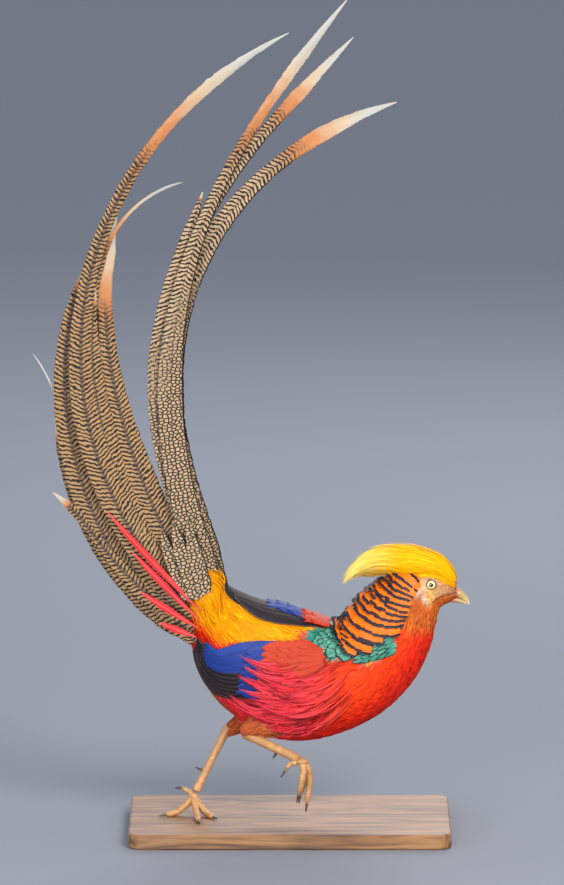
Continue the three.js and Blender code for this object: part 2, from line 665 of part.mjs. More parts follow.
// Middles and headings of a tail feather, evenly from the root to the tip.
function tailCurve(feather, steps) {
  const fine = 12;
  const heading = (s) => radians(
    mix(feather.root, feather.tip, s ** feather.late) + feather.sway * Math.sin(2 * Math.PI * s),
  );
  const step = feather.length / steps / fine;
  const points = [{ x: feather.x, z: feather.z, heading: heading(0) }];
  let { x, z } = feather;
  for (let i = 1; i <= steps * fine; i += 1) {
    const way = heading((i - 0.5) / steps / fine);
    x += Math.cos(way) * step;
    z += Math.sin(way) * step;
    if (i % fine === 0) points.push({ x, z, heading: heading(i / steps / fine) });
  }
  return points;
}

// Half the width of a feather at s, from 0 at the root to 1 at the tip.
function rectrixHalf(feather, s) {
  const i = Math.max(1, feather.shape.findIndex(([place]) => place >= s));
  const [[from, low], [to, high]] = feather.shape.slice(i - 1, i + 1);
  return (feather.width / 2) * mix(low, high, (s - from) / (to - from));
}

function rectrix(feather, grow = 0) {
  const steps = Math.max(5, Math.round(feather.length / RECTRIX.longStep));
  const curve = tailCurve(feather, steps);
  const tilt = radians(RECTRIX.tilt);
  return slab(2, steps, (u, v, outer) => {
    const { x, z, heading } = curve[Math.round(v * steps)];
    const way = vec(Math.cos(heading), 0, Math.sin(heading));
    const across = vec(-way.z * Math.cos(tilt), feather.faces * Math.sin(tilt), way.x * Math.cos(tilt));
    const out = across.clone().cross(way).multiplyScalar(feather.faces);
    const inShaft = 1 - Math.abs(2 * u - 1);
    const thick = mix(RECTRIX.edge, RECTRIX.shaft, inShaft) * mix(1, 0.6, v) / 2 + grow;
    return vec(x, TAIL_Y + feather.layer + feather.drift * v, z)
      .addScaledVector(across, (1 - 2 * u) * (rectrixHalf(feather, v) + grow))
      .addScaledVector(out, (outer ? thick : -thick) + RECTRIX.camber * inShaft * (1 - v))
      .addScaledVector(way, v === 1 ? grow : 0);
  });
}

function fanPlate() {
  const turn = new THREE.Matrix4()
    .makeRotationY(-radians(FAN_SPLIT.heading))
    .setPosition(FAN_SPLIT.x, TAIL_Y, FAN_SPLIT.z);
  return solidOf(new THREE.BoxGeometry(400, 400, GAP).applyMatrix4(turn));
}

const tailGroup = addGroup();
const tailBaseGrown = bodyBetween(PART_TAIL_FAN, 3, { lift: 4 * GAP, perSection: 6 });
const byHeight = (a, b) => middleX(a) - middleX(b);
const fanHalves = fanCore.subtract(fanPlate()).decompose().sort(byHeight);
const fanGrown = bodyBetween(FIRST_SECTION, PART_TAIL_FAN, { lift: GAP }).subtract(fanPlate()).decompose();
const coverts = COVERTS.map((feather) => rectrix(feather));
const covertsGrown = join(COVERTS.map((feather) => rectrix(feather, GAP)));
const centralFeathers = join(CENTRAL.map((feather) => rectrix(feather)));
const centralGrown = join(CENTRAL.map((feather) => rectrix(feather, GAP)));
const sideFeathers = join(SIDE.map((feather) => rectrix(feather))).subtract(fanGrown.sort(byHeight)[1]);
const rump = RUMP_ROWS.flatMap((row) => featherRow(row));
const rumpGrown = RUMP_ROWS.flatMap((row) =>
  featherRow({ ...row, half: row.half + GAP, thick: 0.8 + 2 * GAP }));
const clear = join([tailBaseGrown, covertsGrown, ...rumpGrown]);
const tailBase = join([tailBaseCore, ...coverts, ...rump]);
addNode(tailGroup, 'tail_base', tailBase, 0xe8a21c, 0.8);
addNode(tailGroup, 'tail_central', fanHalves[1].add(centralFeathers).subtract(clear), 0xb79a6a, 0.7);
addNode(
  tailGroup,
  'tail_side',
  fanHalves[0].add(sideFeathers).subtract(clear).subtract(centralGrown).subtract(fanPlate()),
  0xb08a50,
  0.7,
);

// Legs: a feathered thigh, a bare tarsus with its spur, and a foot of three long toes and a hind one.
// Each point has its middle and its radius, or half its depth and width.

const LEGS = {
  left: {
    wing: WING_LEFT,
    thigh: [
      { x: 14, y: 44, z: 144, deep: 26, wide: 20 },
      { x: -20, y: 38, z: 131, deep: 20, wide: 17 },
      { x: -48, y: 27, z: 121, deep: 12, wide: 11 },
      { x: -66, y: 17, z: 112, deep: 8, wide: 6.5 },
    ],
    tarsus: [
      { x: -69, y: 16, z: 116, r: 5.4 },
      { x: -74, y: 15, z: 106, r: 5 },
      { x: -84, y: 13, z: 86, r: 4.3 },
      { x: -96, y: 10.5, z: 62, r: 4.2 },
      { x: -106, y: 8.4, z: 42, r: 5.2 },
    ],
    hub: { x: -108, y: 8, z: 37, r: 6.2 },
    toes: [
      [
        { x: -108, y: 8, z: 36, r: 4 },
        { x: -118, y: 2, z: 27, r: 3.7 },
        { x: -128, y: -4, z: 20.6, r: 3.5 },
        { x: -139, y: -10, z: 19.6, r: 2.6 },
      ],
      [
        { x: -108, y: 8, z: 36, r: 4.2 },
        { x: -106, y: -5, z: 27, r: 3.9 },
        { x: -104, y: -20, z: 20.6, r: 3.6 },
        { x: -102, y: -40, z: 19.6, r: 2.6 },
      ],
      [
        { x: -108, y: 8, z: 36, r: 4 },
        { x: -100, y: -2, z: 27, r: 3.7 },
        { x: -93, y: -11, z: 20.6, r: 3.5 },
        { x: -86, y: -22, z: 19.6, r: 2.6 },
      ],
      [
        { x: -109, y: 9, z: 39, r: 3.2 },
        { x: -115, y: 11.5, z: 42, r: 2.8 },
        { x: -120.5, y: 13, z: 45.5, r: 2 },
      ],
    ],
    spur: [
      { x: -95, y: 10.7, z: 66, r: 2.3 },
      { x: -101, y: 12, z: 67, r: 1.6 },
      { x: -106.5, y: 13, z: 69.5, r: 0.5 },
    ],
    clawLift: -1,
  },
  right: {
    wing: WING_RIGHT,
    thigh: [
      { x: 34, y: -13, z: 148, deep: 24, wide: 17 },
      { x: 4, y: -19, z: 137, deep: 21, wide: 16 },
      { x: -28, y: -26, z: 128, deep: 17, wide: 12 },
      { x: -48, y: -25, z: 120, deep: 9.5, wide: 8 },
    ],
    tarsus: [
      { x: -52, y: -22, z: 115.5, r: 5.8 },
      { x: -42, y: -27, z: 112, r: 5.4 },
      { x: -20, y: -39.5, z: 104, r: 5 },
      { x: 0, y: -51, z: 96.6, r: 5 },
      { x: 10, y: -56.5, z: 93, r: 5.8 },
    ],
    hub: { x: 14, y: -58.5, z: 91, r: 7 },
    toes: [
      [
        { x: 14, y: -59, z: 90, r: 4 },
        { x: 15, y: -66, z: 80, r: 3.8 },
        { x: 13, y: -67, z: 67, r: 3.4 },
        { x: 10, y: -65, z: 56, r: 2.5 },
      ],
      [
        { x: 14, y: -58, z: 90, r: 4.2 },
        { x: 21, y: -58, z: 80, r: 4 },
        { x: 21.5, y: -57, z: 62, r: 3.6 },
        { x: 19, y: -56, z: 44, r: 2.6 },
      ],
      [
        { x: 14, y: -58, z: 90, r: 4 },
        { x: 17, y: -50, z: 80, r: 3.8 },
        { x: 15, y: -48, z: 65, r: 3.4 },
        { x: 12, y: -48.5, z: 52, r: 2.5 },
      ],
      [
        { x: 9, y: -57, z: 90, r: 3.2 },
        { x: 1, y: -57.5, z: 88, r: 2.8 },
        { x: -4, y: -58, z: 82, r: 2.1 },
      ],
    ],
    spur: [
      { x: -14, y: -43, z: 101.5, r: 2.3 },
      { x: -16, y: -42.5, z: 96, r: 1.6 },
      { x: -19.5, y: -42, z: 90.5, r: 0.5 },
    ],
    clawLift: 0,
  },
};
const CLAW = { length: 10, bend: 2.2, tip: 0.4 };

const round = (list) => list.map((p) => ({ ...p, deep: p.r, wide: p.r }));

// A claw carries on from the end of its toe and hooks down, or lies along the floor.
function clawPath(toe, lift) {
  const end = toe[toe.length - 1];
  const before = toe[toe.length - 2];
  const way = vec(end.x - before.x, end.y - before.y, lift ? 0 : end.z - before.z).normalize();
  return [-0.12, 0.4, 0.75, 1].map((s, i) => ({
    x: end.x + way.x * CLAW.length * s,
    y: end.y + way.y * CLAW.length * s,
    z: end.z + way.z * CLAW.length * s + (lift ? lift * s : -CLAW.bend * s * s),
    r: [end.r * 0.72, 1.4, 0.9, CLAW.tip][i],
  }));
}

const floorSlab = solidOf(
  new THREE.BoxGeometry(BASE.length, BASE.width, BASE.height).translate(0, 0, SOLE - BASE.height / 2),
);

Object.entries(LEGS).forEach(([side, leg]) => {
  const parent = addGroup();
  const tarsus = tube(round(leg.tarsus), { around: 9, steps: 2 });
  const tarsusGrown = tube(round(leg.tarsus), { around: 9, steps: 2, grow: GAP });
  const thigh = tube(leg.thigh, { around: 14, steps: 3 });
  const hub = new THREE.SphereGeometry(leg.hub.r, 8, 5).translate(leg.hub.x, leg.hub.y, leg.hub.z);
  const toes = leg.toes.map((toe) => tube(round(toe), { around: 6, steps: 1 }));
  const claws = leg.toes.map((toe) => tube(round(clawPath(toe, leg.clawLift)), { around: 6, steps: 1 }));
  const clawsGrown = leg.toes.map((toe) =>
    tube(round(clawPath(toe, leg.clawLift)), { around: 6, steps: 1, grow: GAP }));
  const spur = tube(round(leg.spur), { around: 7, steps: 1 });
  const cutAway = join([tarsusGrown, ...clawsGrown]).add(floorSlab);
  const foot = join([solidOf(hub), ...toes]).subtract(cutAway);
  const besideThigh = tarsusGrown.add(torsoGrown).add(wingCore(leg.wing, GAP));
  addNode(parent, `thigh_${side}`, thigh.subtract(besideThigh), 0xc9743a, 0.85);
  addNode(parent, `tarsus_${side}`, tarsus, 0xc79a5a, 0.55);
  addNode(parent, `spur_${side}`, spur.subtract(tarsusGrown), 0x6b543a, 0.45);
  addNode(parent, `foot_${side}`, foot, 0xc0925a, 0.6);
  claws.forEach((claw, i) =>
    addNode(parent, `claw_${side}_${i + 1}`, claw.subtract(floorSlab), 0x6b543a, 0.45));
});

export default group;
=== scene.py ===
import math

import bpy
import numpy as np
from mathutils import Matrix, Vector


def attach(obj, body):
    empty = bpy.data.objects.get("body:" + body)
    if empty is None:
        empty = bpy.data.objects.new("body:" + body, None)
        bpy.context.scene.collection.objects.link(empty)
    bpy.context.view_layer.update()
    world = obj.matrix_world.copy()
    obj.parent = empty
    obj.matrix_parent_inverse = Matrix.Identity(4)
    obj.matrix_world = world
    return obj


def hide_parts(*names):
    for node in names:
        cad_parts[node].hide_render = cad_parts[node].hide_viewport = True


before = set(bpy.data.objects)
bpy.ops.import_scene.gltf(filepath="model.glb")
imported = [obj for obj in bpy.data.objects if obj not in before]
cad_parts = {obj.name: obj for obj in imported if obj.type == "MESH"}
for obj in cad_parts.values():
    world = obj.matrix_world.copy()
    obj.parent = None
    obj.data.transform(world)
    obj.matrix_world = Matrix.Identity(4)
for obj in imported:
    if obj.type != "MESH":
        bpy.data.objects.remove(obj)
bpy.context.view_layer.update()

# Base: a flat board of stained beech with rounded corners and a softened edge, which the bird's foot stands on.
# The real one is sawn and routed from one plank, with the grain along its length.


def linear(colour):
    """A #rrggbb colour as linear red, green, blue and full alpha."""
    values = [int(colour[i : i + 2], 16) / 255 for i in (1, 3, 5)]
    return [v / 12.92 if v <= 0.04045 else ((v + 0.055) / 1.055) ** 2.4 for v in values] + [1.0]


def add_node(tree, kind, inputs=None, **settings):
    """A shader node with its settings, and with its inputs set or linked."""
    made = tree.nodes.new(kind)
    for key, value in settings.items():
        setattr(made, key, value)
    for key, value in (inputs or {}).items():
        if isinstance(value, bpy.types.NodeSocket):
            tree.links.new(value, made.inputs[key])
        else:
            made.inputs[key].default_value = value
    return made


def new_material(name, **constants):
    """A material with these constants on its shader, such as Roughness or Sheen_Weight."""
    material = bpy.data.materials.new(name)
    material.use_nodes = True
    shader = material.node_tree.nodes["Principled BSDF"]
    for key, value in constants.items():
        shader.inputs[key.replace("_", " ")].default_value = value
    return material, material.node_tree, shader


def ramp(tree, factor, stops):
    """A colour ramp through stops of (place, #rrggbb)."""
    made = add_node(tree, "ShaderNodeValToRGB", {"Fac": factor})
    points = made.color_ramp.elements
    while len(points) < len(stops):
        points.new(0.5)
    for point, (where, colour) in zip(points, stops):
        point.position = where
        point.color = linear(colour)
    return made.outputs["Color"]


def calc(tree, operation, *values):
    """The result of a Math node."""
    return add_node(tree, "ShaderNodeMath", dict(enumerate(values)), operation=operation).outputs[0]


def noise(tree, vector, scale, detail=2.0, distortion=0.0):
    """A cloudy value from 0 to 1."""
    inputs = {"Vector": vector, "Scale": scale, "Detail": detail, "Distortion": distortion}
    return add_node(tree, "ShaderNodeTexNoise", inputs).outputs["Fac"]


def stretched(tree, vector, scale):
    """A vector with its three parts scaled."""
    return add_node(tree, "ShaderNodeMapping", {"Vector": vector, "Scale": scale}).outputs["Vector"]


def object_place(tree):
    """The place on a piece, in metres."""
    return add_node(tree, "ShaderNodeTexCoord").outputs["Object"]


def set_surface(tree, shader, colour, height=None, strength=0.3, distance=0.0003):
    """Gives a material its colour, and bumps it by a height over a distance in metres."""
    tree.links.new(colour, shader.inputs["Base Color"])
    if height is not None:
        bump = add_node(tree, "ShaderNodeBump", {"Height": height, "Strength": strength, "Distance": distance})
        tree.links.new(bump.outputs["Normal"], shader.inputs["Normal"])


# Stained beech: long wavy grain with darker growth lines and fine pores, under a satin oil finish.
beech, tree, shader = new_material("stained_beech", Roughness=0.42, Coat_Weight=0.12, Coat_Roughness=0.35)
plank = object_place(tree)
grain = noise(tree, stretched(tree, plank, (3.0, 30.0, 30.0)), 2.4, 8.0, 1.2)
pores = noise(tree, stretched(tree, plank, (20.0, 400.0, 400.0)), 2.0, 3.0)
beech_stops = [(0.45, "#4d3320"), (0.6, "#77522f"), (0.75, "#946b42")]
beech_colour = ramp(tree, calc(tree, "MULTIPLY_ADD", pores, 0.25, grain), beech_stops)
set_surface(tree, shader, beech_colour, pores, 0.3, 0.0005)
board_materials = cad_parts["stand_base"].data.materials
board_materials.clear()
board_materials.append(beech)

# Skin: one smooth body from under the tail to the foot of the bill, with the eye sockets, the brow, the cheeks
# and the line of the mouth. The coat's feathers grow from it and carry the same markings.

# Middle x, y, z, lean and roll in degrees, half depth and half width in millimetres, from tail to bill.
SECTIONS = np.array([
    (-106, -32, 288, 40, 22, 13, 10),
    (-99, -27.5, 272, 37, 22, 31, 24),
    (-90, -18.3, 248, 33, 22, 38.5, 33.5),
    (-65.5, -4, 213, 27, 22, 59, 48),
    (-32, 5.5, 189, 17, 22, 72, 57.5),
    (4.5, 12.2, 173, 7, 22, 75.5, 60.5),
    (43, 12.7, 171.5, -5, 22, 68, 54.5),
    (82, 7.5, 184.5, -23, 21, 56.5, 45),
    (107.5, -4.3, 213.5, -34, 19, 53, 40),
    (125.5, -15.6, 241.5, -42, 16, 44, 33),
    (137.5, -23, 264.5, -47, 12, 33.5, 24),
    (145, -24, 276.5, -44, 8, 30, 19),
    (154.5, -24, 283, -31, 4, 26.5, 17),
    (166, -24, 285, -20, 1, 22.5, 15.5),
    (177, -24, 284, -10, 0, 17.5, 12.5),
    (184, -24, 281, -5, 0, 12, 8.5),
    (187, -24, 277.5, 0, 0, 7.3, 5.5),
])  # fmt: skip
FIRST_PLACE = -2
LAST_PLACE = FIRST_PLACE + len(SECTIONS) - 1


def smooth_row(table, where):
    """The row of a table at a place between its rows, on smooth curves."""
    last = len(table) - 1
    u = np.clip(np.asarray(where, float), 0, last - 1e-9)
    i = np.floor(u).astype(int)
    f = (u - i)[..., None]
    a, b, c, d = [table[np.clip(i + k, 0, last)] for k in (-1, 0, 1, 2)]
    return 0.5 * (2 * b + (c - a) * f + (2 * a - 5 * b + 4 * c - d) * f**2 + (3 * b - a - 3 * c + d) * f**3)


def on_body(t, angle, lift=0.0):
    """Points of the body at places t and angles in degrees from the back, positive to the left."""
    t, angle, lift = np.broadcast_arrays(np.asarray(t, float), angle, lift)
    x, y, z, lean, roll, deep, wide = np.moveaxis(smooth_row(SECTIONS, t - FIRST_PLACE), -1, 0)
    lean, roll, angle = np.radians(lean), np.radians(roll), np.radians(angle)
    up = np.stack([np.sin(lean), -np.cos(lean) * np.sin(roll), np.cos(lean) * np.cos(roll)], -1)
    left = np.stack([0 * lean, np.cos(roll), np.sin(roll)], -1)
    c, k = np.cos(angle), np.sin(angle)
    slope = np.hypot(c / deep, k / wide)
    high = deep * c + lift * c / deep / slope
    side = wide * k + lift * k / wide / slope
    return np.stack([x, y, z], -1) + up * high[..., None] + left * side[..., None]


def unit(v):
    """Vectors of length 1 with the same directions."""
    return v / np.maximum(np.linalg.norm(v, axis=-1, keepdims=True), 1e-9)


def frame_on(on, t, angle):
    """At places of a surface: the point, the outward normal, the ways back and aside, and both derivatives."""
    d = 0.02
    p = on(t, angle)
    by_place = (on(t + d, angle) - on(t - d, angle)) / (2 * d)
    by_angle = (on(t, angle + 1) - on(t, angle - 1)) / 2
    normal = unit(np.cross(by_angle, by_place))
    outward = on(t, angle, 1.0) - p
    normal = normal * np.sign(np.sum(normal * outward, -1, keepdims=True))
    back = -unit(by_place)
    aside = unit(by_angle - back * np.sum(by_angle * back, -1, keepdims=True))
    return p, normal, back, aside, by_place, by_angle


def hump(t, angle, t0, angle0, reach, spread, power=2.0):
    """A soft spot of strength 1 at place t0 and angle0, on both sides of the body."""
    d = np.abs((t - t0) / reach) ** power + np.abs((np.abs(angle) - angle0) / spread) ** power
    return np.exp(-d)


EYE_PLACE, EYE_ANGLE = 10.45, 78


def mouth_line(t):
    """The angle where the line of the mouth runs back from the bill."""
    return np.interp(t, [9.6, 10.6, 12, 13, 14], [124, 121, 116, 110, 104])


def skin_lift(t, angle):
    """How far the skin lies from the solids' surface, with the face's own forms."""
    depth = np.interp(t, [-2, 4.5, 5.8, 8.3, 9, 14], [-2.6, -2.8, -2.0, -1.6, -0.7, -0.3])
    socket = -3.2 * hump(t, angle, EYE_PLACE, EYE_ANGLE, 0.34, 22, 2.4)
    brow = 0.9 * hump(t, angle, EYE_PLACE, 50, 0.7, 10)
    under_eye = 0.5 * hump(t, angle, 10.3, 104, 0.45, 9)
    mouth = -1.1 * np.exp(-(((np.abs(angle) - mouth_line(t)) / 4.5) ** 2)) * np.clip((t - 9.5) / 0.4, 0, 1)
    cheek = 0.7 * hump(t, angle, 9.6, 100, 0.5, 24)
    lore = -0.6 * hump(t, angle, 11.9, 82, 0.6, 18)
    wattle = 0.9 * hump(t, angle, 10.15, 110, 0.16, 7)
    return depth + socket + brow + under_eye + mouth + cheek + lore + wattle


# The colours that the markings are laid in.
PLUMAGE = {
    "scarlet": "#e5230c", "orange_red": "#f2410c", "crimson": "#e62a30", "rose": "#e83c4c", "gold": "#ee9600",
    "tan": "#b8703c", "rufous": "#c05a22", "throat": "#cf6620", "buff": "#d09c68", "ear": "#e2d9c6",
    "orbit": "#cca878", "lore": "#dc9a68", "yellow": "#f8bd04", "teal": "#2a8a78", "chestnut": "#d8361a",
    "navy": "#2040a4", "cape": "#f08010", "dusk": "#6a2c22", "gape": "#8c3a20",
}  # fmt: skip


def rgb(colour):
    """A #rrggbb colour as linear red, green and blue, for the tint that a mesh carries."""
    return np.array(linear(colour)[:3])


def blend(first, second, share):
    """Two tints mixed, with this share of the second."""
    return first * (1 - share) + second * share


def step(value, low, high):
    """0 below low, 1 above high and smooth between; the other way round where high is less."""
    u = np.clip((value - low) / (high - low), 0, 1)
    return u * u * (3 - 2 * u)


def gold_edge(t):
    """The angle where the golden back ends at the wings."""
    places = [-2, 0, 0.4, 0.8, 1.2, 1.65, 2.04, 2.45, 2.85, 3.12, 3.3, 3.65, 4.3]
    return np.interp(t, places, [150, 116, 98, 76, 62, 54, 49, 44, 37, 31, 26, 15, 4])


def crown_edge(t):
    """The angle where the yellow of the crown ends above the face."""
    return np.interp(t, [8.4, 9.35, 10.8, 11.35, 11.85, 12.65, 13.3], [40, 44, 57, 66, 78, 82, 66])


def wing_edge(t):
    """The angle where the folded wing's lower edge lies."""
    return np.interp(t, [0.2, 0.9, 1.5, 2.1, 2.7, 3.3, 3.9], [145, 132, 110, 96, 84, 72, 56])


def mantle_line(angle):
    """The place of the hindmost green tips at an angle."""
    angles = [3, 8, 25, 35, 42, 50, 62, 80, 94]
    return np.interp(np.abs(angle), angles, [4.35, 3.85, 3.4, 3.65, 4.15, 4.8, 5.3, 5.95, 6.55])


def marking(t, angle):
    """The plumage colour at a place of the body, as linear red, green and blue."""
    a = np.abs(angle)
    colour = np.broadcast_to(rgb(PLUMAGE["scarlet"]), t.shape + (3,))

    def lay(name, strength):
        nonlocal colour
        colour = blend(colour, rgb(PLUMAGE[name]), np.clip(strength, 0, 1)[..., None])

    lay("orange_red", 0.85 * step(t, 3.2, 5.0) * step(a, 132, 84))
    lay("crimson", 0.8 * step(t, 3.8, 2.0) * step(a, 84, 124))
    lay("rose", 0.5 * hump(t, a, 2.0, 104, 1.3, 30))
    # Painted shade: dusky brown under the flank plumes, for the shaded gaps between the locks.
    lay("dusk", 0.8 * hump(t, a, 1.75, 76, 0.75, 17) + 0.6 * hump(t, a, 2.6, 66, 0.5, 8))
    lay("tan", step(t, 2.2, 1.8) * step(a, 138, 152) * step(t, -0.6, 0.2))
    lay("rufous", 0.6 * step(t, 1.6, 0.8) * step(a, 128, 146))
    lay("tan", 0.7 * step(t, 0.2, -0.6) * step(a, 100, 150))
    in_wing = step(a, gold_edge(t) + 10, gold_edge(t) + 16) * step(a, wing_edge(t) - 8, wing_edge(t) - 14)
    lay("navy", in_wing * step(t, 2.4, 2.1) * step(t, 0.1, 0.4))
    shoulder = step(a, gold_edge(t) - 3, gold_edge(t) + 3) * step(a, 66, 56)
    lay("chestnut", shoulder * step(t, 2.0, 2.4) * step(t, 4.4, 3.9))
    lay("gold", step(a, gold_edge(t) + 3, gold_edge(t) - 3) * step(t, 4.3, 4.1))
    fringe = step(a, gold_edge(t) - 22, gold_edge(t) - 4) * step(t, 0.75, 0.35) * step(t, -1.6, -0.9)
    lay("scarlet", fringe)
    lay("teal", step(t - mantle_line(a), 0.05, 0.3) * step(a, 84, 76) * step(t, 6.4, 6.1))
    lay("cape", step(a, 76, 70) * step(t, 5.6, 6.0))
    above_red = t - np.interp(a, [70, 100, 180], [7.2, 7.55, 8.15])
    lay("throat", step(above_red, -0.25, 0.3) * step(a, 64, 74))
    lay("rufous", 0.8 * hump(t, a, 8.4, 104, 0.7, 26))
    lay("buff", step(t, 8.9, 9.6) * step(a, 128, 112))
    lay("rufous", 0.6 * hump(t, a, 9.0, 96, 0.35, 12))
    lay("ear", hump(t, a, 9.5, 70, 0.42, 13))
    lay("orbit", 0.8 * hump(t, a, 10.4, 80, 0.75, 26))
    lay("lore", 0.8 * hump(t, a, 12.1, 84, 0.9, 24))
    lay("yellow", step(a, crown_edge(t) + 3, crown_edge(t) - 4) * step(t, 8.3, 8.8) * step(t, 13.5, 13.1))
    lay("yellow", hump(t, a, 10.2, 98, 0.15, 8) + hump(t, a, 9.9, 109, 0.15, 7))
    lay("ear", 0.7 * hump(t, a, 9.5, 102, 0.2, 9))
    lay("dusk", 0.4 * hump(t, a, 9.35, 88, 0.3, 5))
    gape = np.exp(-(((a - mouth_line(t)) / 4) ** 2)) * step(t, 9.7, 10.2)
    lay("gape", 0.9 * gape + 0.6 * hump(t, a, 13.2, 84, 0.3, 18))
    lay("throat", 0.7 * step(t, 9.2, 9.8) * step(a, 128, 142))
    return colour


def add_mesh(name, points, faces, material, uvs=None, floats=None, colours=None):
    """A smooth mesh piece from points in millimetres. UVs, floats and colours are given for each point."""
    points = np.asarray(points, float).reshape(-1, 3)
    faces = np.asarray(faces, np.int64)
    sides = faces.shape[1]
    mesh = bpy.data.meshes.new(name)
    mesh.vertices.add(len(points))
    mesh.vertices.foreach_set("co", (points * 0.001).astype(np.float32).ravel())
    mesh.loops.add(faces.size)
    mesh.loops.foreach_set("vertex_index", faces.astype(np.int32).ravel())
    mesh.polygons.add(len(faces))
    mesh.polygons.foreach_set("loop_start", np.arange(0, faces.size, sides, dtype=np.int32))
    mesh.polygons.foreach_set("use_smooth", np.full(len(faces), True))
    mesh.update(calc_edges=True)
    for key, values in (uvs or {}).items():
        layer = mesh.uv_layers.new(name=key)
        layer.data.foreach_set("uv", np.asarray(values, np.float32)[faces.ravel()].ravel())
    for key, values in (floats or {}).items():
        layer = mesh.attributes.new(key, "FLOAT", "POINT")
        layer.data.foreach_set("value", np.asarray(values, np.float32).ravel())
    for key, values in (colours or {}).items():
        layer = mesh.attributes.new(key, "FLOAT_COLOR", "POINT")
        rgba = np.ones((len(points), 4), np.float32)
        rgba[:, :3] = values
        layer.data.foreach_set("color", rgba.ravel())
    made = bpy.data.objects.new(name, mesh)
    bpy.context.scene.collection.objects.link(made)
    made.data.materials.append(material)
    return made


def settle(piece, slot, *nodes):
    """Puts a piece on the one body and hides the solids it stands for; its slot, for its finish, is not used."""
    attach(piece, "root")
    if nodes:
        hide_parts(*nodes)


def grid(rows, columns, closed=False):
    """Quads of a grid of points; closed joins its last column to its first."""
    i = np.arange(rows - 1)[:, None]
    j = np.arange(columns if closed else columns - 1)[None, :]
    a = i * columns + j
    b = i * columns + (j + 1) % columns
    return np.stack([a, b, b + columns, a + columns], -1).reshape(-1, 4)


SKIN_COLUMNS = 200
# Rows of the skin, which lie closer together over the head.
skin_rows = np.concatenate([np.linspace(FIRST_PLACE, 8.4, 130), np.linspace(8.46, LAST_PLACE, 150)])
skin_angles = np.linspace(-180, 180, SKIN_COLUMNS, endpoint=False)
skin_t, skin_a = np.meshgrid(skin_rows, skin_angles, indexing="ij")
skin_points = on_body(skin_t, skin_a, skin_lift(skin_t, skin_a))
ends = [skin_points[i].mean(0) for i in (0, -1)]
skin_points = np.concatenate([
    np.tile(ends[0], (1, SKIN_COLUMNS, 1)), skin_points, np.tile(ends[1], (1, SKIN_COLUMNS, 1))
])  # fmt: skip
skin_t = np.concatenate([skin_t[:1], skin_t, skin_t[-1:]])
skin_a = np.concatenate([skin_a[:1], skin_a, skin_a[-1:]])


def unwrap(t, angle):
    """A place of the body on the skin's unwrapped square, clear of its edges."""
    u = 0.01 + 0.98 * (np.asarray(t) - FIRST_PLACE) / (LAST_PLACE - FIRST_PLACE)
    v = 0.01 + 0.98 * (np.asarray(angle) + 180) / 360
    return np.stack(np.broadcast_arrays(u, v), -1)


def attribute(tree, name, output="Fac"):
    """A value that the mesh carries at each point."""
    return add_node(tree, "ShaderNodeAttribute", attribute_name=name).outputs[output]


def mix_colour(tree, factor, first, second, mode="MIX"):
    inputs = {0: factor, 6: first, 7: second}
    return add_node(tree, "ShaderNodeMix", inputs, data_type="RGBA", blend_type=mode).outputs[2]


# Down over skin: matt, with the markings' colour, and a fine fibrous bump. It is mottled darker in cloudy patches,
# the down's own tone and painted shade between the feathers.
down, tree, shader = new_material("downy_skin", Roughness=0.8, Specular_IOR_Level=0.2)
fluff = noise(tree, object_place(tree), 700.0, 3.0)
tint = attribute(tree, "tint", "Color")
painted_shade = mix_colour(tree, calc(tree, "MULTIPLY", fluff, 0.5), tint, linear("#a0705c"), "MULTIPLY")
set_surface(tree, shader, painted_shade, fluff, 0.4, 0.0006)
skin = add_mesh(
    "skin",
    skin_points,
    grid(len(skin_points), SKIN_COLUMNS, True),
    down,
    uvs={"OFBake": unwrap(skin_t, skin_a).reshape(-1, 2)},
    colours={"tint": marking(skin_t, skin_a).reshape(-1, 3)},
)
settle(skin, "plumage_red", "head", "neck", "torso", "tail_base")

# Eyes: glass domes as a model's are, pale straw yellow with a small black pupil and a dark outer ring.
# Each sits in its socket inside a thin lid of bare grey-brown skin.

# Millimetres: the dome's radius, how deep its middle lies, and the lid ring's radius, thickness and depth.
EYE = {"radius": 6.0, "depth": 3.6, "lid": 5.35, "lid_thick": 0.75, "lid_deep": 0.55}


def eye_basis(side):
    """The middle of an eye and its ways outward, up and ahead."""
    where = on_body(EYE_PLACE, side * EYE_ANGLE, -EYE["depth"])
    outward = unit(on_body(EYE_PLACE, side * EYE_ANGLE, 1.0) - where)
    ahead = unit(np.cross(outward, [0, 0, 1.0]) * -side)
    return where, outward, np.cross(outward, ahead), ahead


# Glass: a clear wet gloss over the iris, which is painted in rings.
glass, tree, shader = new_material("glass_eye", Roughness=0.04, IOR=1.5, Coat_Weight=1.0, Coat_Roughness=0.02)
iris_stops = [
    (0.36, "#060505"), (0.4, "#7a5a20"), (0.46, "#e2d488"), (0.66, "#ece2aa"), (0.74, "#c0a058"), (0.8, "#17110c"),
]  # fmt: skip
from_axis = calc(tree, "DIVIDE", attribute(tree, "from_axis"), EYE["radius"])
set_surface(tree, shader, ramp(tree, from_axis, iris_stops))
# Lid: dull brown skin with fine dark folds.
lid_skin, tree, shader = new_material("bare_lid_skin", Roughness=0.6)
folds = noise(tree, object_place(tree), 900.0, 4.0)
set_surface(tree, shader, ramp(tree, folds, [(0.35, "#3a2c22"), (0.65, "#6e5a45")]), folds, 0.4, 0.0003)
polar = np.radians(np.linspace(0, 180, 49))
spin = np.radians(np.arange(0, 360, 7.5))
section = np.radians(np.arange(0, 360, 30))
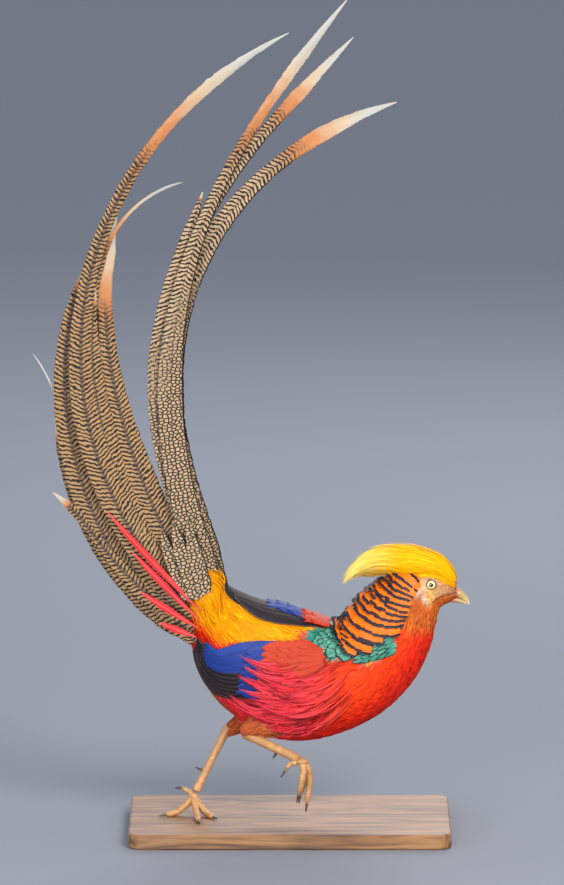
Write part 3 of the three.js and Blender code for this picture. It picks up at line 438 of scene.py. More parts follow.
# The hidden back half counts as beyond the iris, so it stays dark.
axis_distance = np.repeat(EYE["radius"] * np.sin(polar) + 10 * (polar > 1.6), len(spin))
squeeze = 1 - 0.1 * np.abs(np.sin(spin))[None, :, None]
for side, hand in ((-1, "right"), (1, "left")):
    where, outward, upward, ahead = eye_basis(side)
    ring = np.cos(spin)[None, :, None] * ahead + np.sin(spin)[None, :, None] * upward
    ball = where + EYE["radius"] * (outward * np.cos(polar)[:, None, None] + ring * np.sin(polar)[:, None, None])
    faces = grid(len(polar), len(spin), True)
    eye = add_mesh(f"eye_{hand}_glass", ball, faces, glass, floats={"from_axis": axis_distance})
    settle(eye, "eye", f"eye_{hand}")
    radius = EYE["lid"] + EYE["lid_thick"] * np.cos(section)[:, None, None]
    height = EYE["depth"] - EYE["lid_deep"] + EYE["lid_thick"] * 0.9 * np.sin(section)[:, None, None]
    lid = where + ring * radius * squeeze + outward * height
    faces = grid(len(section) + 1, len(spin), True) % (len(section) * len(spin))
    settle(add_mesh(f"eyelid_{hand}", lid, faces, lid_skin), "leg_scales")

# Bill: two halves of horn, the upper arched over the lower and hooked at its tip, with a soft base round the
# nostrils. Horn grows from the face, so each half starts inside it.

BILL_UPPER = np.array([
    (181, 278.5, 5.6, 6.2), (187, 276.3, 5, 5.2), (192, 272.8, 4.3, 4.2), (196.2, 268.6, 3.2, 3),
    (198.8, 265, 1.8, 1.7), (199.5, 262.4, 0.4, 0.4),
])  # fmt: skip
BILL_LOWER = np.array([
    (180, 269.2, 3.6, 5), (186, 268.4, 3.4, 4.4), (191, 266.9, 2.7, 3.4), (194.8, 265.2, 1.7, 2), (196.8, 264, 0.7, 0.8)
])  # fmt: skip
HEAD_Y = -24
NOSTRIL = {"x": 186.5, "z": 277.8, "long": 2.6, "high": 0.75, "deep": 0.9}


def swept(stations, steps, around, shape):
    """Rings along stations of middle x, z, half depth and half width; shape gives each ring's outline."""
    where = np.linspace(0, len(stations) - 1, steps)
    rows = smooth_row(stations, where)
    middle = np.stack([rows[:, 0], np.full(steps, HEAD_Y), rows[:, 1]], -1)
    way = unit(np.gradient(middle, axis=0))
    up = np.cross(way, [0, 1.0, 0])
    up = up * np.sign(up[:, 2:])
    angle = np.linspace(0, 2 * np.pi, around, endpoint=False)
    high, wide = shape(angle)
    points = middle[:, None] + up[:, None] * (rows[:, 2, None] * high)[..., None]
    points = points + np.array([0, 1.0, 0]) * (rows[:, 3, None] * wide)[..., None]
    return points


def arched(angle):
    """An outline with a narrow ridge on top, full sides and a flat, slightly hollow underside."""
    c, s = np.cos(angle), np.sin(angle)
    return np.where(c > 0, c, 0.92 * c), s * np.where(c > 0, np.abs(s) ** 0.15, 1)


def keeled(angle):
    """An outline with a flattened top and a deeper, round underside."""
    c, s = np.cos(angle), np.sin(angle)
    return np.where(c > 0, 0.75 * c, c), s


# Horn: straw yellow and translucent, ivory at the tip, flushed with pink and brown at the soft base.
horn, tree, shader = new_material(
    "bill_horn", Roughness=0.32, IOR=1.54, Subsurface_Weight=0.15, Subsurface_Radius=(0.002, 0.0012, 0.0006)
)
bill_place = object_place(tree)
cloud = noise(tree, bill_place, 350.0, 4.0)
bill_lines = noise(tree, stretched(tree, bill_place, (120.0, 900.0, 900.0)), 1.0, 3.0)
bill_stops = [(0.08, "#ac604c"), (0.26, "#ac8058"), (0.5, "#ae945e"), (0.8, "#bca872"), (0.97, "#dad2ae")]
bill_colour = ramp(tree, calc(tree, "MULTIPLY_ADD", cloud, 0.12, attribute(tree, "along")), bill_stops)
set_surface(tree, shader, bill_colour, bill_lines, 0.25, 0.0003)
BILL_STEPS, BILL_AROUND = 60, 48
along_bill = np.repeat(np.linspace(0, 1, BILL_STEPS), BILL_AROUND)
for name, stations, outline in (("beak_upper", BILL_UPPER, arched), ("beak_lower", BILL_LOWER, keeled)):
    points = swept(stations, BILL_STEPS, BILL_AROUND, outline)
    if name == "beak_upper":
        along = points[..., 0] - NOSTRIL["x"]
        above = points[..., 2] - NOSTRIL["z"] + 0.12 * along
        gap = (along / NOSTRIL["long"]) ** 2 + (above / NOSTRIL["high"]) ** 2
        points[..., 1] -= np.sign(points[..., 1] - HEAD_Y) * NOSTRIL["deep"] * np.exp(-(gap**2))
    bill = add_mesh(f"{name}_horn", points, grid(BILL_STEPS, BILL_AROUND, True), horn, floats={"along": along_bill})
    settle(bill, "horn", name)

# Legs: bare shanks and toes in horny scales, broad plates in front and small ones behind, with a spur above the
# hind toe. The left foot stands on the board, and the right one is lifted in mid-stride.

# Each row is a middle x, y, z and a radius, or half depth and half width, from top to bottom.
LEGS = {
    "left": {
        "thigh": [
            (14, 44, 144, 26, 20), (-20, 38, 131, 20, 17), (-48, 27, 121, 12, 11), (-64, 18, 113, 8, 6.5),
            (-72, 15.6, 107.5, 4.6, 4.6),
        ],
        "tarsus": [
            (-69, 16, 116, 5.4), (-74, 15, 106, 5), (-84, 13, 86, 4.3), (-96, 10.5, 62, 4.2), (-106, 8.4, 42, 5.2),
        ],
        "toes": [
            [(-108, 8, 36, 4), (-118, 2, 27, 3.7), (-128, -4, 20.9, 3.5), (-139, -10, 19.9, 2.6)],
            [(-108, 8, 36, 4.2), (-106, -5, 27, 3.9), (-104, -20, 20.9, 3.6), (-102, -40, 19.9, 2.6)],
            [(-108, 8, 36, 4), (-100, -2, 27, 3.7), (-93, -11, 20.9, 3.5), (-86, -22, 19.9, 2.6)],
            [(-109, 9, 39, 3.2), (-115, 11.5, 42, 2.8), (-120.5, 13, 45.5, 2)],
        ],
        "spur": [(-95, 10.7, 66, 2.3), (-101, 12, 67, 1.6), (-106.5, 13, 69.5, 0.5)],
        "hub": (-108, 8, 37, 6.2),
        "claw_lift": -1,
    },
    "right": {
        "thigh": [
            (34, -13, 148, 24, 17), (4, -19, 137, 21, 16), (-28, -26, 128, 17, 12), (-46, -25, 120.5, 9.5, 8),
            (-49, -23.5, 114, 5.2, 5.2),
        ],
        "tarsus": [
            (-52, -22, 115.5, 5.8), (-42, -27, 112, 5.4), (-20, -39.5, 104, 5), (0, -51, 96.6, 5),
            (10, -56.5, 93, 5.8),
        ],
        "toes": [
            [(14, -59, 90, 4), (15, -66, 80, 3.8), (13, -67, 67, 3.4), (10, -65, 56, 2.5)],
            [(14, -58, 90, 4.2), (21, -58, 80, 4), (21.5, -57, 62, 3.6), (19, -56, 44, 2.6)],
            [(14, -58, 90, 4), (17, -50, 80, 3.8), (15, -48, 65, 3.4), (12, -48.5, 52, 2.5)],
            [(9, -57, 90, 3.2), (1, -57.5, 88, 2.8), (-4, -58, 82, 2.1)],
        ],
        "spur": [(-14, -43, 101.5, 2.3), (-16, -42.5, 96, 1.6), (-19.5, -42, 90.5, 0.5)],
        "hub": (14, -58.5, 91, 7),
        "claw_lift": 0,
    },
}  # fmt: skip
CLAW = {"length": 10, "bend": 2.2, "tip": 0.35}
SCUTE = {"long": 3.4, "step": 0.07, "bead": 0.05}
LEG_AROUND, CLAW_AROUND = 36, 20
HUB_REACH = 4.6


def limb(rows, per_mm=2.2, around=LEG_AROUND, scute=0.0, pads=0.0):
    """A round limb along rows of middles and radii, with plates down its front and pads under its joints."""
    rows = np.array([r if len(r) == 5 else (*r, r[3]) for r in rows], float)
    length = np.linalg.norm(np.diff(rows[:, :3], axis=0), axis=1).sum()
    steps = max(int(length * per_mm), 12)
    where = np.linspace(0, len(rows) - 1, steps)
    values = smooth_row(rows, where)
    middle = values[:, :3]
    way = unit(np.gradient(middle, axis=0))
    run = np.concatenate([[0], np.cumsum(np.linalg.norm(np.diff(middle, axis=0), axis=1))])
    side = unit(np.array([0, 1.0, 0]) - way * way[:, 1:2])
    front = np.cross(side, way)
    front = front * np.sign(front[:, :1] + 1e-6 + 0.5 * front[:, 2:])
    angle = np.linspace(0, 2 * np.pi, around, endpoint=False)
    c, s = np.cos(angle)[None, :], np.sin(angle)[None, :]
    saw = (run[:, None] / SCUTE["long"] + 0.12 * np.abs(s)) % 1.0
    plate = SCUTE["step"] * (saw**0.6 - 0.6) * np.exp(-((s / 0.75) ** 4)) * (c > -0.1)
    bead = SCUTE["bead"] * np.sin(run[:, None] * 3.1 + 2 * angle[None, :]) * np.sin(angle[None, :] * 9) * (c <= 0.2)
    swell = pads * np.exp(-((where[:, None] % 1.0 - 0.5) ** 2) / 0.05) * (c < 0)
    relief = scute * (plate + bead) + swell
    ends = np.minimum(run, run[-1] - run)
    values[:, 3:] *= np.sqrt(np.clip(ends / 2.0, 0.02, 1))[:, None] ** 0.9
    points = middle[:, None] + front[:, None] * ((values[:, 3, None] + relief) * c)[..., None]
    points = points + side[:, None] * ((values[:, 4, None] + relief) * s)[..., None]
    return points, run, saw


def claw_rows(toe, lift):
    """A claw that carries on from its toe and hooks down, or lies along the floor."""
    toe = np.array(toe, float)
    way = toe[-1, :3] - toe[-2, :3]
    if lift:
        way[2] = 0
    way = unit(way)
    rows = []
    for s, radius in ((-0.12, toe[-1, 3] * 0.72), (0.2, 1.7), (0.5, 1.25), (0.8, 0.8), (1.0, CLAW["tip"])):
        drop = lift * s if lift else -CLAW["bend"] * s * s
        rows.append((*(toe[-1, :3] + way * CLAW["length"] * s + np.array([0, 0, drop])), radius))
    return rows


# Horny leg scales: warm yellow-brown plates with darker seams and a dull wax gloss.
scales, tree, shader = new_material("leg_scales", Roughness=0.45, IOR=1.5)
leg_place = object_place(tree)
plates = calc(tree, "MULTIPLY", attribute(tree, "seam"), 0.14)
patches = calc(tree, "MULTIPLY", noise(tree, leg_place, 120.0, 3.0), 0.9)
leg_stops = [(0.05, "#7c5830"), (0.35, "#9c7040"), (0.6, "#b08250"), (0.85, "#c49a6c")]
leg_colour = ramp(tree, calc(tree, "ADD", plates, patches), leg_stops)
set_surface(tree, shader, leg_colour, noise(tree, leg_place, 900.0, 3.0), 0.3, 0.0003)
# Claw horn: dark brown, paler where it leaves the toe, smooth and a little glossy.
claw_horn, tree, shader = new_material("claw_horn", Roughness=0.3, IOR=1.54)
claw_stops = [(0.0, "#8a6a44"), (0.35, "#4f3a26"), (1.0, "#2a1d14")]
set_surface(tree, shader, ramp(tree, attribute(tree, "seam"), claw_stops))

for hand, leg in LEGS.items():
    x, y, z, radius = leg["hub"]
    hub = [(x, y, z + HUB_REACH, 1.5), (x, y, z, radius), (x, y, z - HUB_REACH, 1.5)]
    toes = [limb(rows, scute=0.85, pads=0.5) for rows in [*leg["toes"], hub]]
    for name, node, limbs in (("shank", "tarsus", [limb(leg["tarsus"], scute=1.0)]), ("toes", "foot", toes)):
        starts = np.cumsum([0] + [len(points) * LEG_AROUND for points, _, _ in limbs])
        piece = add_mesh(
            f"{name}_{hand}",
            np.concatenate([points.reshape(-1, 3) for points, _, _ in limbs]),
            np.concatenate([grid(len(limbs[i][0]), LEG_AROUND, True) + starts[i] for i in range(len(limbs))]),
            scales,
            floats={"seam": np.concatenate([saw.ravel() for _, _, saw in limbs])},
        )
        settle(piece, "leg_scales", f"{node}_{hand}")
    horns = {f"claw_{hand}_{i + 1}": claw_rows(toe, leg["claw_lift"]) for i, toe in enumerate(leg["toes"])}
    horns[f"spur_{hand}"] = leg["spur"]
    for node, rows in horns.items():
        points, run, _ = limb(rows, per_mm=3, around=CLAW_AROUND)
        faces = grid(len(points), CLAW_AROUND, True)
        seams = np.repeat(run / run[-1], CLAW_AROUND)
        settle(add_mesh(f"{node}_horn", points, faces, claw_horn, floats={"seam": seams}), "claw_horn", node)

# Tail: long pointed feathers in two plumes, each a stiff shaft with a flat vane on either side, fixed in a fan
# under the rump. The broad spotted ones stand in the middle and the barred ones lie beside them.

TAIL_Y = -24
RIGHT, LEFT = -1, 1


def taper(*shares):
    """A feather's shape, from places between its root and tip and their shares of its full width."""
    return np.array(shares)


# Drawn out to a slender blade or a thread, or tapering evenly.
DRAWN_OUT = taper((0, 0.5), (0.08, 1), (0.35, 0.94), (0.62, 0.58), (0.78, 0.4), (0.88, 0.44), (0.96, 0.2), (1, 0.03))
TAPERING = taper((0, 0.5), (0.08, 1), (0.45, 1), (0.62, 0.87), (0.78, 0.66), (0.88, 0.45), (0.95, 0.24), (1, 0.03))
SLENDER = taper(
    (0, 0.5), (0.08, 1), (0.35, 0.92), (0.5, 0.66), (0.62, 0.46), (0.78, 0.36), (0.88, 0.4), (0.96, 0.18), (1, 0.03)
)
WHISKER = taper((0, 0.5), (0.08, 1), (0.35, 0.9), (0.6, 0.5), (0.76, 0.36), (0.83, 0.13), (0.97, 0.1), (1, 0.03))
# Root x and z, length, headings at root and tip, lateness and sway of the bend, width, layer, facing side, shape,
# and the length of the plain tip beyond the bars.
CENTRAL = [
    (-88, 263, 478, 99, 71, 2.5, 8, 37, -9, RIGHT, TAPERING, 9),
    (-74, 271, 737, 127, 51, 0.57, 4.1, 31, -14, RIGHT, SLENDER, 185),
    (-75, 275, 701, 114, 46, 0.84, 8.3, 36, -4, LEFT, SLENDER, 112),
    (-77, 269, 685, 113, 17, 1.26, 3.5, 38, 1, LEFT, DRAWN_OUT, 120),
]
SIDE = [
    (-95, 249, 788, 138, 27, 0.98, 1.6, 33, -19, RIGHT, SLENDER, 205),
    (-96, 255, 563, 137, 13, 1.72, -12.3, 30, -14, RIGHT, WHISKER, 108),
    (-96, 255, 485, 116, 75, 1.81, 0.8, 36, -9, RIGHT, DRAWN_OUT, 120),
    (-101, 242, 416, 141, 80, 0.77, -3.5, 34, -15, RIGHT, TAPERING, 24),
    (-105, 233, 470, 152, 66, 0.87, -2.6, 31, -11, RIGHT, TAPERING, 30),
    (-107, 223, 232, 124, 145, 1.39, 10.9, 24, -15, RIGHT, SLENDER, 24),
    (-110, 230, 369, 102, 127, 0.48, 19.9, 18, -7, RIGHT, WHISKER, 140),
    (-100, 245, 454, 155, 68, 0.8, -3, 33, 12, LEFT, TAPERING, 30),
    (-97, 251, 403, 135, 77, 0.97, -7.5, 36, 8, LEFT, TAPERING, 24),
    (-106, 226, 300, 160, 100, 0.6, 0, 26, 8, LEFT, TAPERING, 24),
]
TAIL_TILT = 12
TAIL_CAMBER = 1.4
TAIL_STEPS_PER_MM = 0.8
# How far the vane's edge frays in millimetres, step by step and in clumps.
FRAY, CLUMP_FRAY, CLUMP = 0.192, 0.24, 5


def tail_feather(row, columns, seed, drift):
    """A long feather in its upright plane: its points, and their mm across and along it."""
    x, z, length, root, end, late, sway, width, layer, faces, shape, _ = row
    steps = int(length * TAIL_STEPS_PER_MM)
    s = np.linspace(0, 1, steps + 1)
    heading = np.radians(root + (end - root) * s**late + sway * np.sin(2 * np.pi * s))
    gap = length / steps * 0.5
    run_x = np.concatenate([[0], np.cumsum(gap * (np.cos(heading[1:]) + np.cos(heading[:-1])))])
    run_z = np.concatenate([[0], np.cumsum(gap * (np.sin(heading[1:]) + np.sin(heading[:-1])))])
    middle = np.stack([x + run_x, TAIL_Y + layer + drift * s, z + run_z], -1)
    way = np.stack([np.cos(heading), 0 * s, np.sin(heading)], -1)
    tilt = math.radians(TAIL_TILT)
    across = np.stack([-way[:, 2] * math.cos(tilt), faces * math.sin(tilt) + 0 * s, way[:, 0] * math.cos(tilt)], -1)
    out = np.cross(across, way) * faces
    half = width / 2 * np.interp(s, *shape.T)
    w = np.linspace(-1, 1, columns + 1)
    draw = np.random.default_rng(seed)
    split = np.repeat(draw.normal(size=(steps // CLUMP + 2, 2)), CLUMP, axis=0)[: steps + 1]
    fray = FRAY * draw.normal(size=(steps + 1, 2)) + CLUMP_FRAY * split
    fray = fray * np.minimum(1, half / 6)[:, None]
    edge = np.where(w[None, :] < 0, -fray[:, :1], fray[:, 1:])
    offset = half[:, None] * w + np.where(np.abs(w) > 0.95, edge, 0)
    dome = TAIL_CAMBER * (1 - w**2) * np.minimum(1, half / 8)[:, None]
    points = middle[:, None] + across[:, None] * offset[..., None] + out[:, None] * dome[..., None]
    return points, offset, np.broadcast_to((s * length)[:, None], offset.shape)


def tail_mesh(name, rows, material, columns, drifts=None):
    """One piece of several long feathers, each with its own strip of the baking map."""
    longest = max(row[2] for row in rows)
    parts = {key: [] for key in ("points", "faces", "OFBake", "vane", "feather", "rim", "plain")}
    start = 0
    for k, row in enumerate(rows):
        length, width, plain = row[2], row[7], row[11]
        points, u, v = tail_feather(row, columns, k, drifts[k] if drifts else 0.0)
        strip = (k + 0.5 + 0.9 * u / width) / len(rows)
        parts["points"].append(points.reshape(-1, 3))
        parts["faces"].append(grid(*u.shape) + start)
        parts["OFBake"].append(np.stack([strip, 0.01 + 0.98 * v / longest], -1).reshape(-1, 2))
        parts["vane"].append(np.stack([u, v], -1).reshape(-1, 2))
        parts["feather"].append(np.full(u.size, k + 1.0))
        parts["rim"].append((np.abs(u).max(axis=1, keepdims=True) - np.abs(u)).ravel())
        parts["plain"].append(((length - v) / plain).ravel())
        start += u.size
    whole = {key: np.concatenate(part) for key, part in parts.items()}
    uvs = {key: whole[key] for key in ("OFBake", "vane")}
    floats = {key: whole[key] for key in ("feather", "rim", "plain")}
    return add_mesh(name, whole["points"], whole["faces"], material, uvs, floats)


def mix_value(tree, factor, first, second):
    return add_node(tree, "ShaderNodeMix", {0: factor, 2: first, 3: second}, data_type="FLOAT").outputs[0]


def band(tree, value, low, high):
    """0 where the value is below low and 1 above high, or the other way round, with a soft change."""
    inputs = {"Value": value, "From Min": low, "From Max": high}
    return add_node(tree, "ShaderNodeMapRange", inputs, interpolation_type="SMOOTHSTEP").outputs["Result"]


def vane_parts(tree):
    """The mm across and along a vane, and a vector of both with the feather's own number as the third."""
    uv = add_node(tree, "ShaderNodeUVMap", uv_map="vane").outputs["UV"]
    parts = add_node(tree, "ShaderNodeSeparateXYZ", {"Vector": uv})
    u, v = parts.outputs["X"], parts.outputs["Y"]
    number = calc(tree, "MULTIPLY", attribute(tree, "feather"), 37.7)
    vector = add_node(tree, "ShaderNodeCombineXYZ", {"X": u, "Y": v, "Z": number}).outputs["Vector"]
    return u, v, vector


def vane_noise(tree, vector, across, along, detail=3.0):
    """Noise over a vane, with its scales across and along the feather."""
    return noise(tree, stretched(tree, vector, (across, along, 1.0)), 1.0, detail)


def barbs(tree, u, v):
    """A soft stripe for each barb, 1.1 mm apart and slanting from the shaft towards the tip."""
    lean = calc(tree, "MULTIPLY_ADD", calc(tree, "ABSOLUTE", u), -0.8, v)
    wave = calc(tree, "SINE", calc(tree, "MULTIPLY", lean, 2 * math.pi / 1.1))
    return calc(tree, "MULTIPLY_ADD", wave, 0.5, 0.5)


def shaft_line(tree, u, outer, inner, strength):
    """The line of the shaft, which fades between two distances in mm from the vane's middle."""
    return calc(tree, "MULTIPLY", band(tree, calc(tree, "ABSOLUTE", u), outer, inner), strength)


# Millimetres between the bars, and across and along a cell of the net.
BAR_STEP, CELL_ACROSS, CELL_ALONG = 5.0, 5.0, 3.8


def tail_material(name, cells):
    """Tail vane: tan, with black bars or a black net round rounded cells, and a plain orange and cream tip."""
    made, tree, shader = new_material(name, Roughness=0.6, Specular_IOR_Level=0.25)
    u, v, vector = vane_parts(tree)
    warp = vane_noise(tree, vector, 0.11, 0.07, 2.0)
    small = vane_noise(tree, vector, 0.34, 0.3, 1.0)
    lean = calc(tree, "MULTIPLY_ADD", calc(tree, "ABSOLUTE", u), 0.55 if cells else -0.5, v)
    bent = calc(tree, "MULTIPLY_ADD", small, 3.0, calc(tree, "MULTIPLY_ADD", warp, 8.0, lean))
    bars = band(tree, calc(tree, "SINE", calc(tree, "MULTIPLY", bent, 2 * math.pi / BAR_STEP)), -0.5, 0.1)
    if cells:
        shrunk = stretched(tree, vector, (1 / CELL_ACROSS, 1 / CELL_ALONG, 1.0))
        net = add_node(
            tree,
            "ShaderNodeTexVoronoi",
            {"Vector": shrunk, "Scale": 1.0, "Randomness": 0.78},
            feature="DISTANCE_TO_EDGE",
            voronoi_dimensions="2D",
        )
        spots = band(tree, net.outputs["Distance"], 0.08, 0.24)
        # Far up the feather and on its outer half the cells give way to bars.
        outer = calc(tree, "MULTIPLY_ADD", u, 5.0, calc(tree, "MULTIPLY_ADD", warp, 160.0, v))
        bars = mix_value(tree, band(tree, outer, 330.0, 470.0), spots, bars)
    plain = calc(tree, "MULTIPLY_ADD", warp, 0.3, attribute(tree, "plain"))
    pale_stops = [(0.2, "#aeb1aa"), (0.32, "#bcab90"), (0.44, "#b87c4c"), (0.54, "#a87040"), (0.66, "#a08058")]
    pale = ramp(tree, calc(tree, "MULTIPLY", plain, 0.45), pale_stops)
    body_tone = linear("#b29a78" if cells else "#a28258")
    pale = mix_colour(tree, band(tree, plain, 1.15, 1.7), pale, body_tone)
    streak = calc(tree, "MULTIPLY", vane_noise(tree, vector, 0.5, 0.02), 0.5)
    pale = mix_colour(tree, streak, pale, linear("#b08450"), "MULTIPLY")
    marked = band(tree, plain, 1.02, 1.3)
    colour = mix_colour(tree, mix_value(tree, marked, 1.0, bars), linear("#120c0a"), pale)
    rim = calc(tree, "MULTIPLY", band(tree, attribute(tree, "rim"), 0.9, 0.2), calc(tree, "MULTIPLY", marked, 0.5))
    colour = mix_colour(tree, rim, colour, linear("#2a201a"))
    if cells:
        front_edge = calc(tree, "MULTIPLY", band(tree, attribute(tree, "rim"), 1.9, 1.1), band(tree, u, -2.0, -4.0))
        colour = mix_colour(tree, calc(tree, "MULTIPLY", front_edge, marked), colour, linear("#17120f"))
    wide, narrow, strength = (1.2, 0.5, 0.35) if cells else (3.0, 1.4, 0.62)
    shaft = shaft_line(tree, u, wide, narrow, calc(tree, "MULTIPLY", marked, strength))
    colour = mix_colour(tree, shaft, colour, linear("#2c2628"))
    set_surface(tree, shader, colour, barbs(tree, u, v), 0.35, 0.0004)
    return made


central_vane = tail_material("spotted_tail_vane", True)
side_vane = tail_material("barred_tail_vane", False)
settle(tail_mesh("tail_feathers_central", CENTRAL, central_vane, 16), "plumage_tan", "tail_central")
settle(tail_mesh("tail_feathers_side", SIDE, side_vane, 12), "plumage_tan", "tail_side")

# Small feathers of the body: soft loose-webbed feathers that overlap like thatch and hide the skin, scarlet below,
# golden and hair-like on the back and tan at the vent, all pointing back along the body.


def walk(on, t, angle, heading, length, steps):
    """Paths over a surface from (t, angle); heading is in degrees from straight back, positive to larger angles."""
    t, angle = np.array(t, float), np.array(angle, float)
    heading = np.radians(np.broadcast_to(heading, t.shape))
    places, angles = [t.copy()], [angle.copy()]
    for _ in range(steps):
        _, _, back, aside, by_place, by_angle = frame_on(on, t, angle)
        move = back * np.cos(heading)[:, None] + aside * np.sin(heading)[:, None]
        move = move * (length / steps)[:, None]
        a, b, c = (np.sum(x * y, -1) for x, y in ((by_place, by_place), (by_place, by_angle), (by_angle, by_angle)))
        m, n = np.sum(move * by_place, -1), np.sum(move * by_angle, -1)
        det = np.maximum(a * c - b * b, 1e-9)
        t = t + np.clip((m * c - n * b) / det, -1, 1)
        angle = angle + np.clip((n * a - m * b) / det, -30, 30)
        places.append(t.copy())
        angles.append(angle.copy())
    return np.stack(places, 1), np.stack(angles, 1)


class Plumage:
    """Collects feathers of one kind and makes them pieces of less than 200,000 triangles."""

    MOST_QUADS = 98000

    def __init__(self, name, material, slot, nodes=()):
        self.name, self.material, self.slot, self.nodes = name, material, slot, nodes
        self.batches = []

    def lay(self, on, t, angle, lifts, twist, half, root, tint=0.5, columns=1, camber=0.0, length=None):
        """
        Lays feathers along paths (N, K) over a surface at their lifts, each turned about its shaft by a twist in
        degrees. They have their half width, the place of their root on the baking map, and their colour.
        """
        p, normal = frame_on(on, t, angle)[:2]
        middle = p + normal * lifts[..., None]
        way = unit(np.gradient(middle, axis=1))
        flat = unit(np.cross(way, normal))
        upright = np.cross(flat, way)
        twist = np.radians(twist)
        c, s = np.cos(twist)[..., None], np.sin(twist)[..., None]
        across, out = flat * c + upright * s, upright * c - flat * s
        n, k = middle.shape[:2]
        m = columns + 1
        w = np.linspace(-1, 1, m)
        half = np.broadcast_to(half, (n, k))[..., None]
        offset = half * w
        points = middle[:, :, None] + across[:, :, None] * offset[..., None]
        points = points + out[:, :, None] * (camber * (1 - w**2))[:, None]
        if length is None:
            length = np.linalg.norm(np.diff(middle, axis=1), axis=2).sum(1)
        s = np.linspace(0, 1, k)[None, :, None] * np.ones_like(offset)
        along = s * length[:, None, None]
        patch = 0.003 * np.stack(np.broadcast_arrays(0.5 * w, s - 0.5), -1)
        quads = grid(k, m)[None] + (np.arange(n) * k * m)[:, None, None]
        tint = np.broadcast_to(tint, (n, k, 3))[:, :, None]
        self.batches.append({
            "points": points.reshape(-1, 3),
            "faces": quads.reshape(-1, 4),
            "vane": np.stack([offset, along], -1).reshape(-1, 2),
            "bake": (root[:, None, None] + patch).reshape(-1, 2),
            "tint": np.broadcast_to(tint, (n, k, m, 3)).reshape(-1, 3),
            "to_tip": (length[:, None, None] - along).ravel(),
            "rim": (half - np.abs(offset)).ravel(),
            "feather": np.repeat(np.random.default_rng(n).uniform(0, 40, n), k * m),
            "each": k * m,
            "quads": (k - 1) * columns,
        })

    def build(self):
        """Makes the pieces, each filled with whole feathers up to its limit."""
        pieces = []
        pending, size = [], 0
        for batch in self.batches:
            each, per = batch["each"], batch["quads"]
            total = len(batch["points"]) // each
            first = 0
            while first < total:
                room = max((self.MOST_QUADS - size) // per, 0)
                if room == 0:
                    pieces.append(pending)
                    pending, size = [], 0
                    continue
                last = min(first + room, total)
                part = {"faces": batch["faces"][first * per : last * per] - first * each}
                for key in ("points", "vane", "bake", "tint", "to_tip", "rim", "feather"):
                    part[key] = batch[key][first * each : last * each]
                pending.append(part)
                size += (last - first) * per
                first = last
        pieces.append(pending)
        for number, parts in enumerate(p for p in pieces if p):
            start, faces = 0, []
            for part in parts:
                faces.append(part["faces"] + start)
                start += len(part["points"])
            both = {key: np.concatenate([p[key] for p in parts]) for key in parts[0] if key != "faces"}
            made = add_mesh(
                f"{self.name}_{number + 1}",
                both["points"],
                np.concatenate(faces),
                self.material,
                uvs={"OFBake": both["bake"], "vane": both["vane"]},
                floats={key: both[key] for key in ("to_tip", "rim", "feather")},
                colours={"tint": both["tint"]},
            )
            settle(made, self.slot, *self.nodes)


def varied(colours, draw, value=0.18, warmth=0.05):
    """The colours made a little lighter or darker, warmer or cooler, feather by feather."""
    n = len(colours)
    gain = np.exp(draw.normal(0, value, (n, 1)))
    shift = np.exp(draw.normal(0, warmth, (n, 1)) * np.array([[1.0, -0.6, -1.0]]))
    return np.clip(colours * gain * shift, 0, 1)


def soft_vane(name, roughness=0.6, contrast=0.3, fibre=0.9, gloss=0.18):
    """Loose feather web in the colour of its place, streaked and ridged by its barbs, with a faint gloss."""
    made, tree, shader = new_material(name, Roughness=roughness, Specular_IOR_Level=gloss)
    _, _, vector = vane_parts(tree)
    fibres = vane_noise(tree, vector, fibre * 1.6, 0.05)
    streaks = ramp(tree, fibres, [(0.3, "#9c9c9c"), (0.7, "#ffffff")])
    colour = mix_colour(tree, contrast * 2, attribute(tree, "tint", "Color"), streaks, "MULTIPLY")
    set_surface(tree, shader, colour, fibres, 0.4, 0.0005)
    return made


def scatter(draw, count, accept, spread_t=(-1.95, 8.6)):
    """Evenly random places of the body where accept(t, angle) is above a random number."""
    t = draw.uniform(*spread_t, count * 4)
    angle = draw.uniform(-180, 180, count * 4)
    by_place, by_angle = frame_on(on_body, t, angle)[4:]
    area = np.linalg.norm(np.cross(by_place, by_angle), axis=-1)
    keep = draw.uniform(0, area.max(), count * 4) < area
    keep &= draw.uniform(0, 1, count * 4) < accept(t, angle)
    return t[keep][:count], angle[keep][:count]


# Shares of the full width from root to tip.
LEAF = np.array([0.35, 0.85, 1.0, 0.8, 0.42, 0.06])
HAIR = np.array([0.7, 1.0, 0.95, 0.8, 0.55, 0.12])


def shaped(profile, count):
    """The values of a profile at evenly spaced places from root to tip."""
    return np.interp(np.linspace(0, 1, count), np.linspace(0, 1, len(profile)), profile)


def lay_coat(coat, draw, t, angle, length, half, lifts, tint, profile=LEAF, twist=10, steps=5, root=0.84):
    """Lays small feathers on the body from their roots, with painted shade where their neighbours cover them."""
    n, s = len(t), np.linspace(0, 1, steps + 1)
    length = length * np.exp(draw.normal(0, 0.14, n))
    where, bearing = walk(on_body, t, angle, draw.normal(0, 7, n), length, steps)
    rise = shaped(lifts, steps + 1) + draw.normal(0, 0.22, (n, 1)) * s
    rise = skin_lift(t, angle)[:, None] + rise
    twist = draw.normal(0, twist, (n, 1))
    width = half * np.exp(draw.normal(0, 0.2, (n, 1))) * shaped(profile, steps + 1)
    # Painted shade at the root, rising to a faint painted highlight at the tip.
    painted_shade = np.linspace(root, 1.06, steps + 1)[None, :, None]
    tint = np.clip(varied(tint, draw)[:, None] * painted_shade, 0, 1)
    coat.lay(on_body, where, bearing, rise, twist, width, unwrap(t, angle), tint, length=length)


# Scarlet web: matt and deep, with faint streaks. Golden web: finer and a little smoother, like silk.
red_web = soft_vane("scarlet_loose_web", contrast=0.22)
gold_web = soft_vane("golden_silky_web", roughness=0.5, contrast=0.25, gloss=0.08)
draw = np.random.default_rng(11)


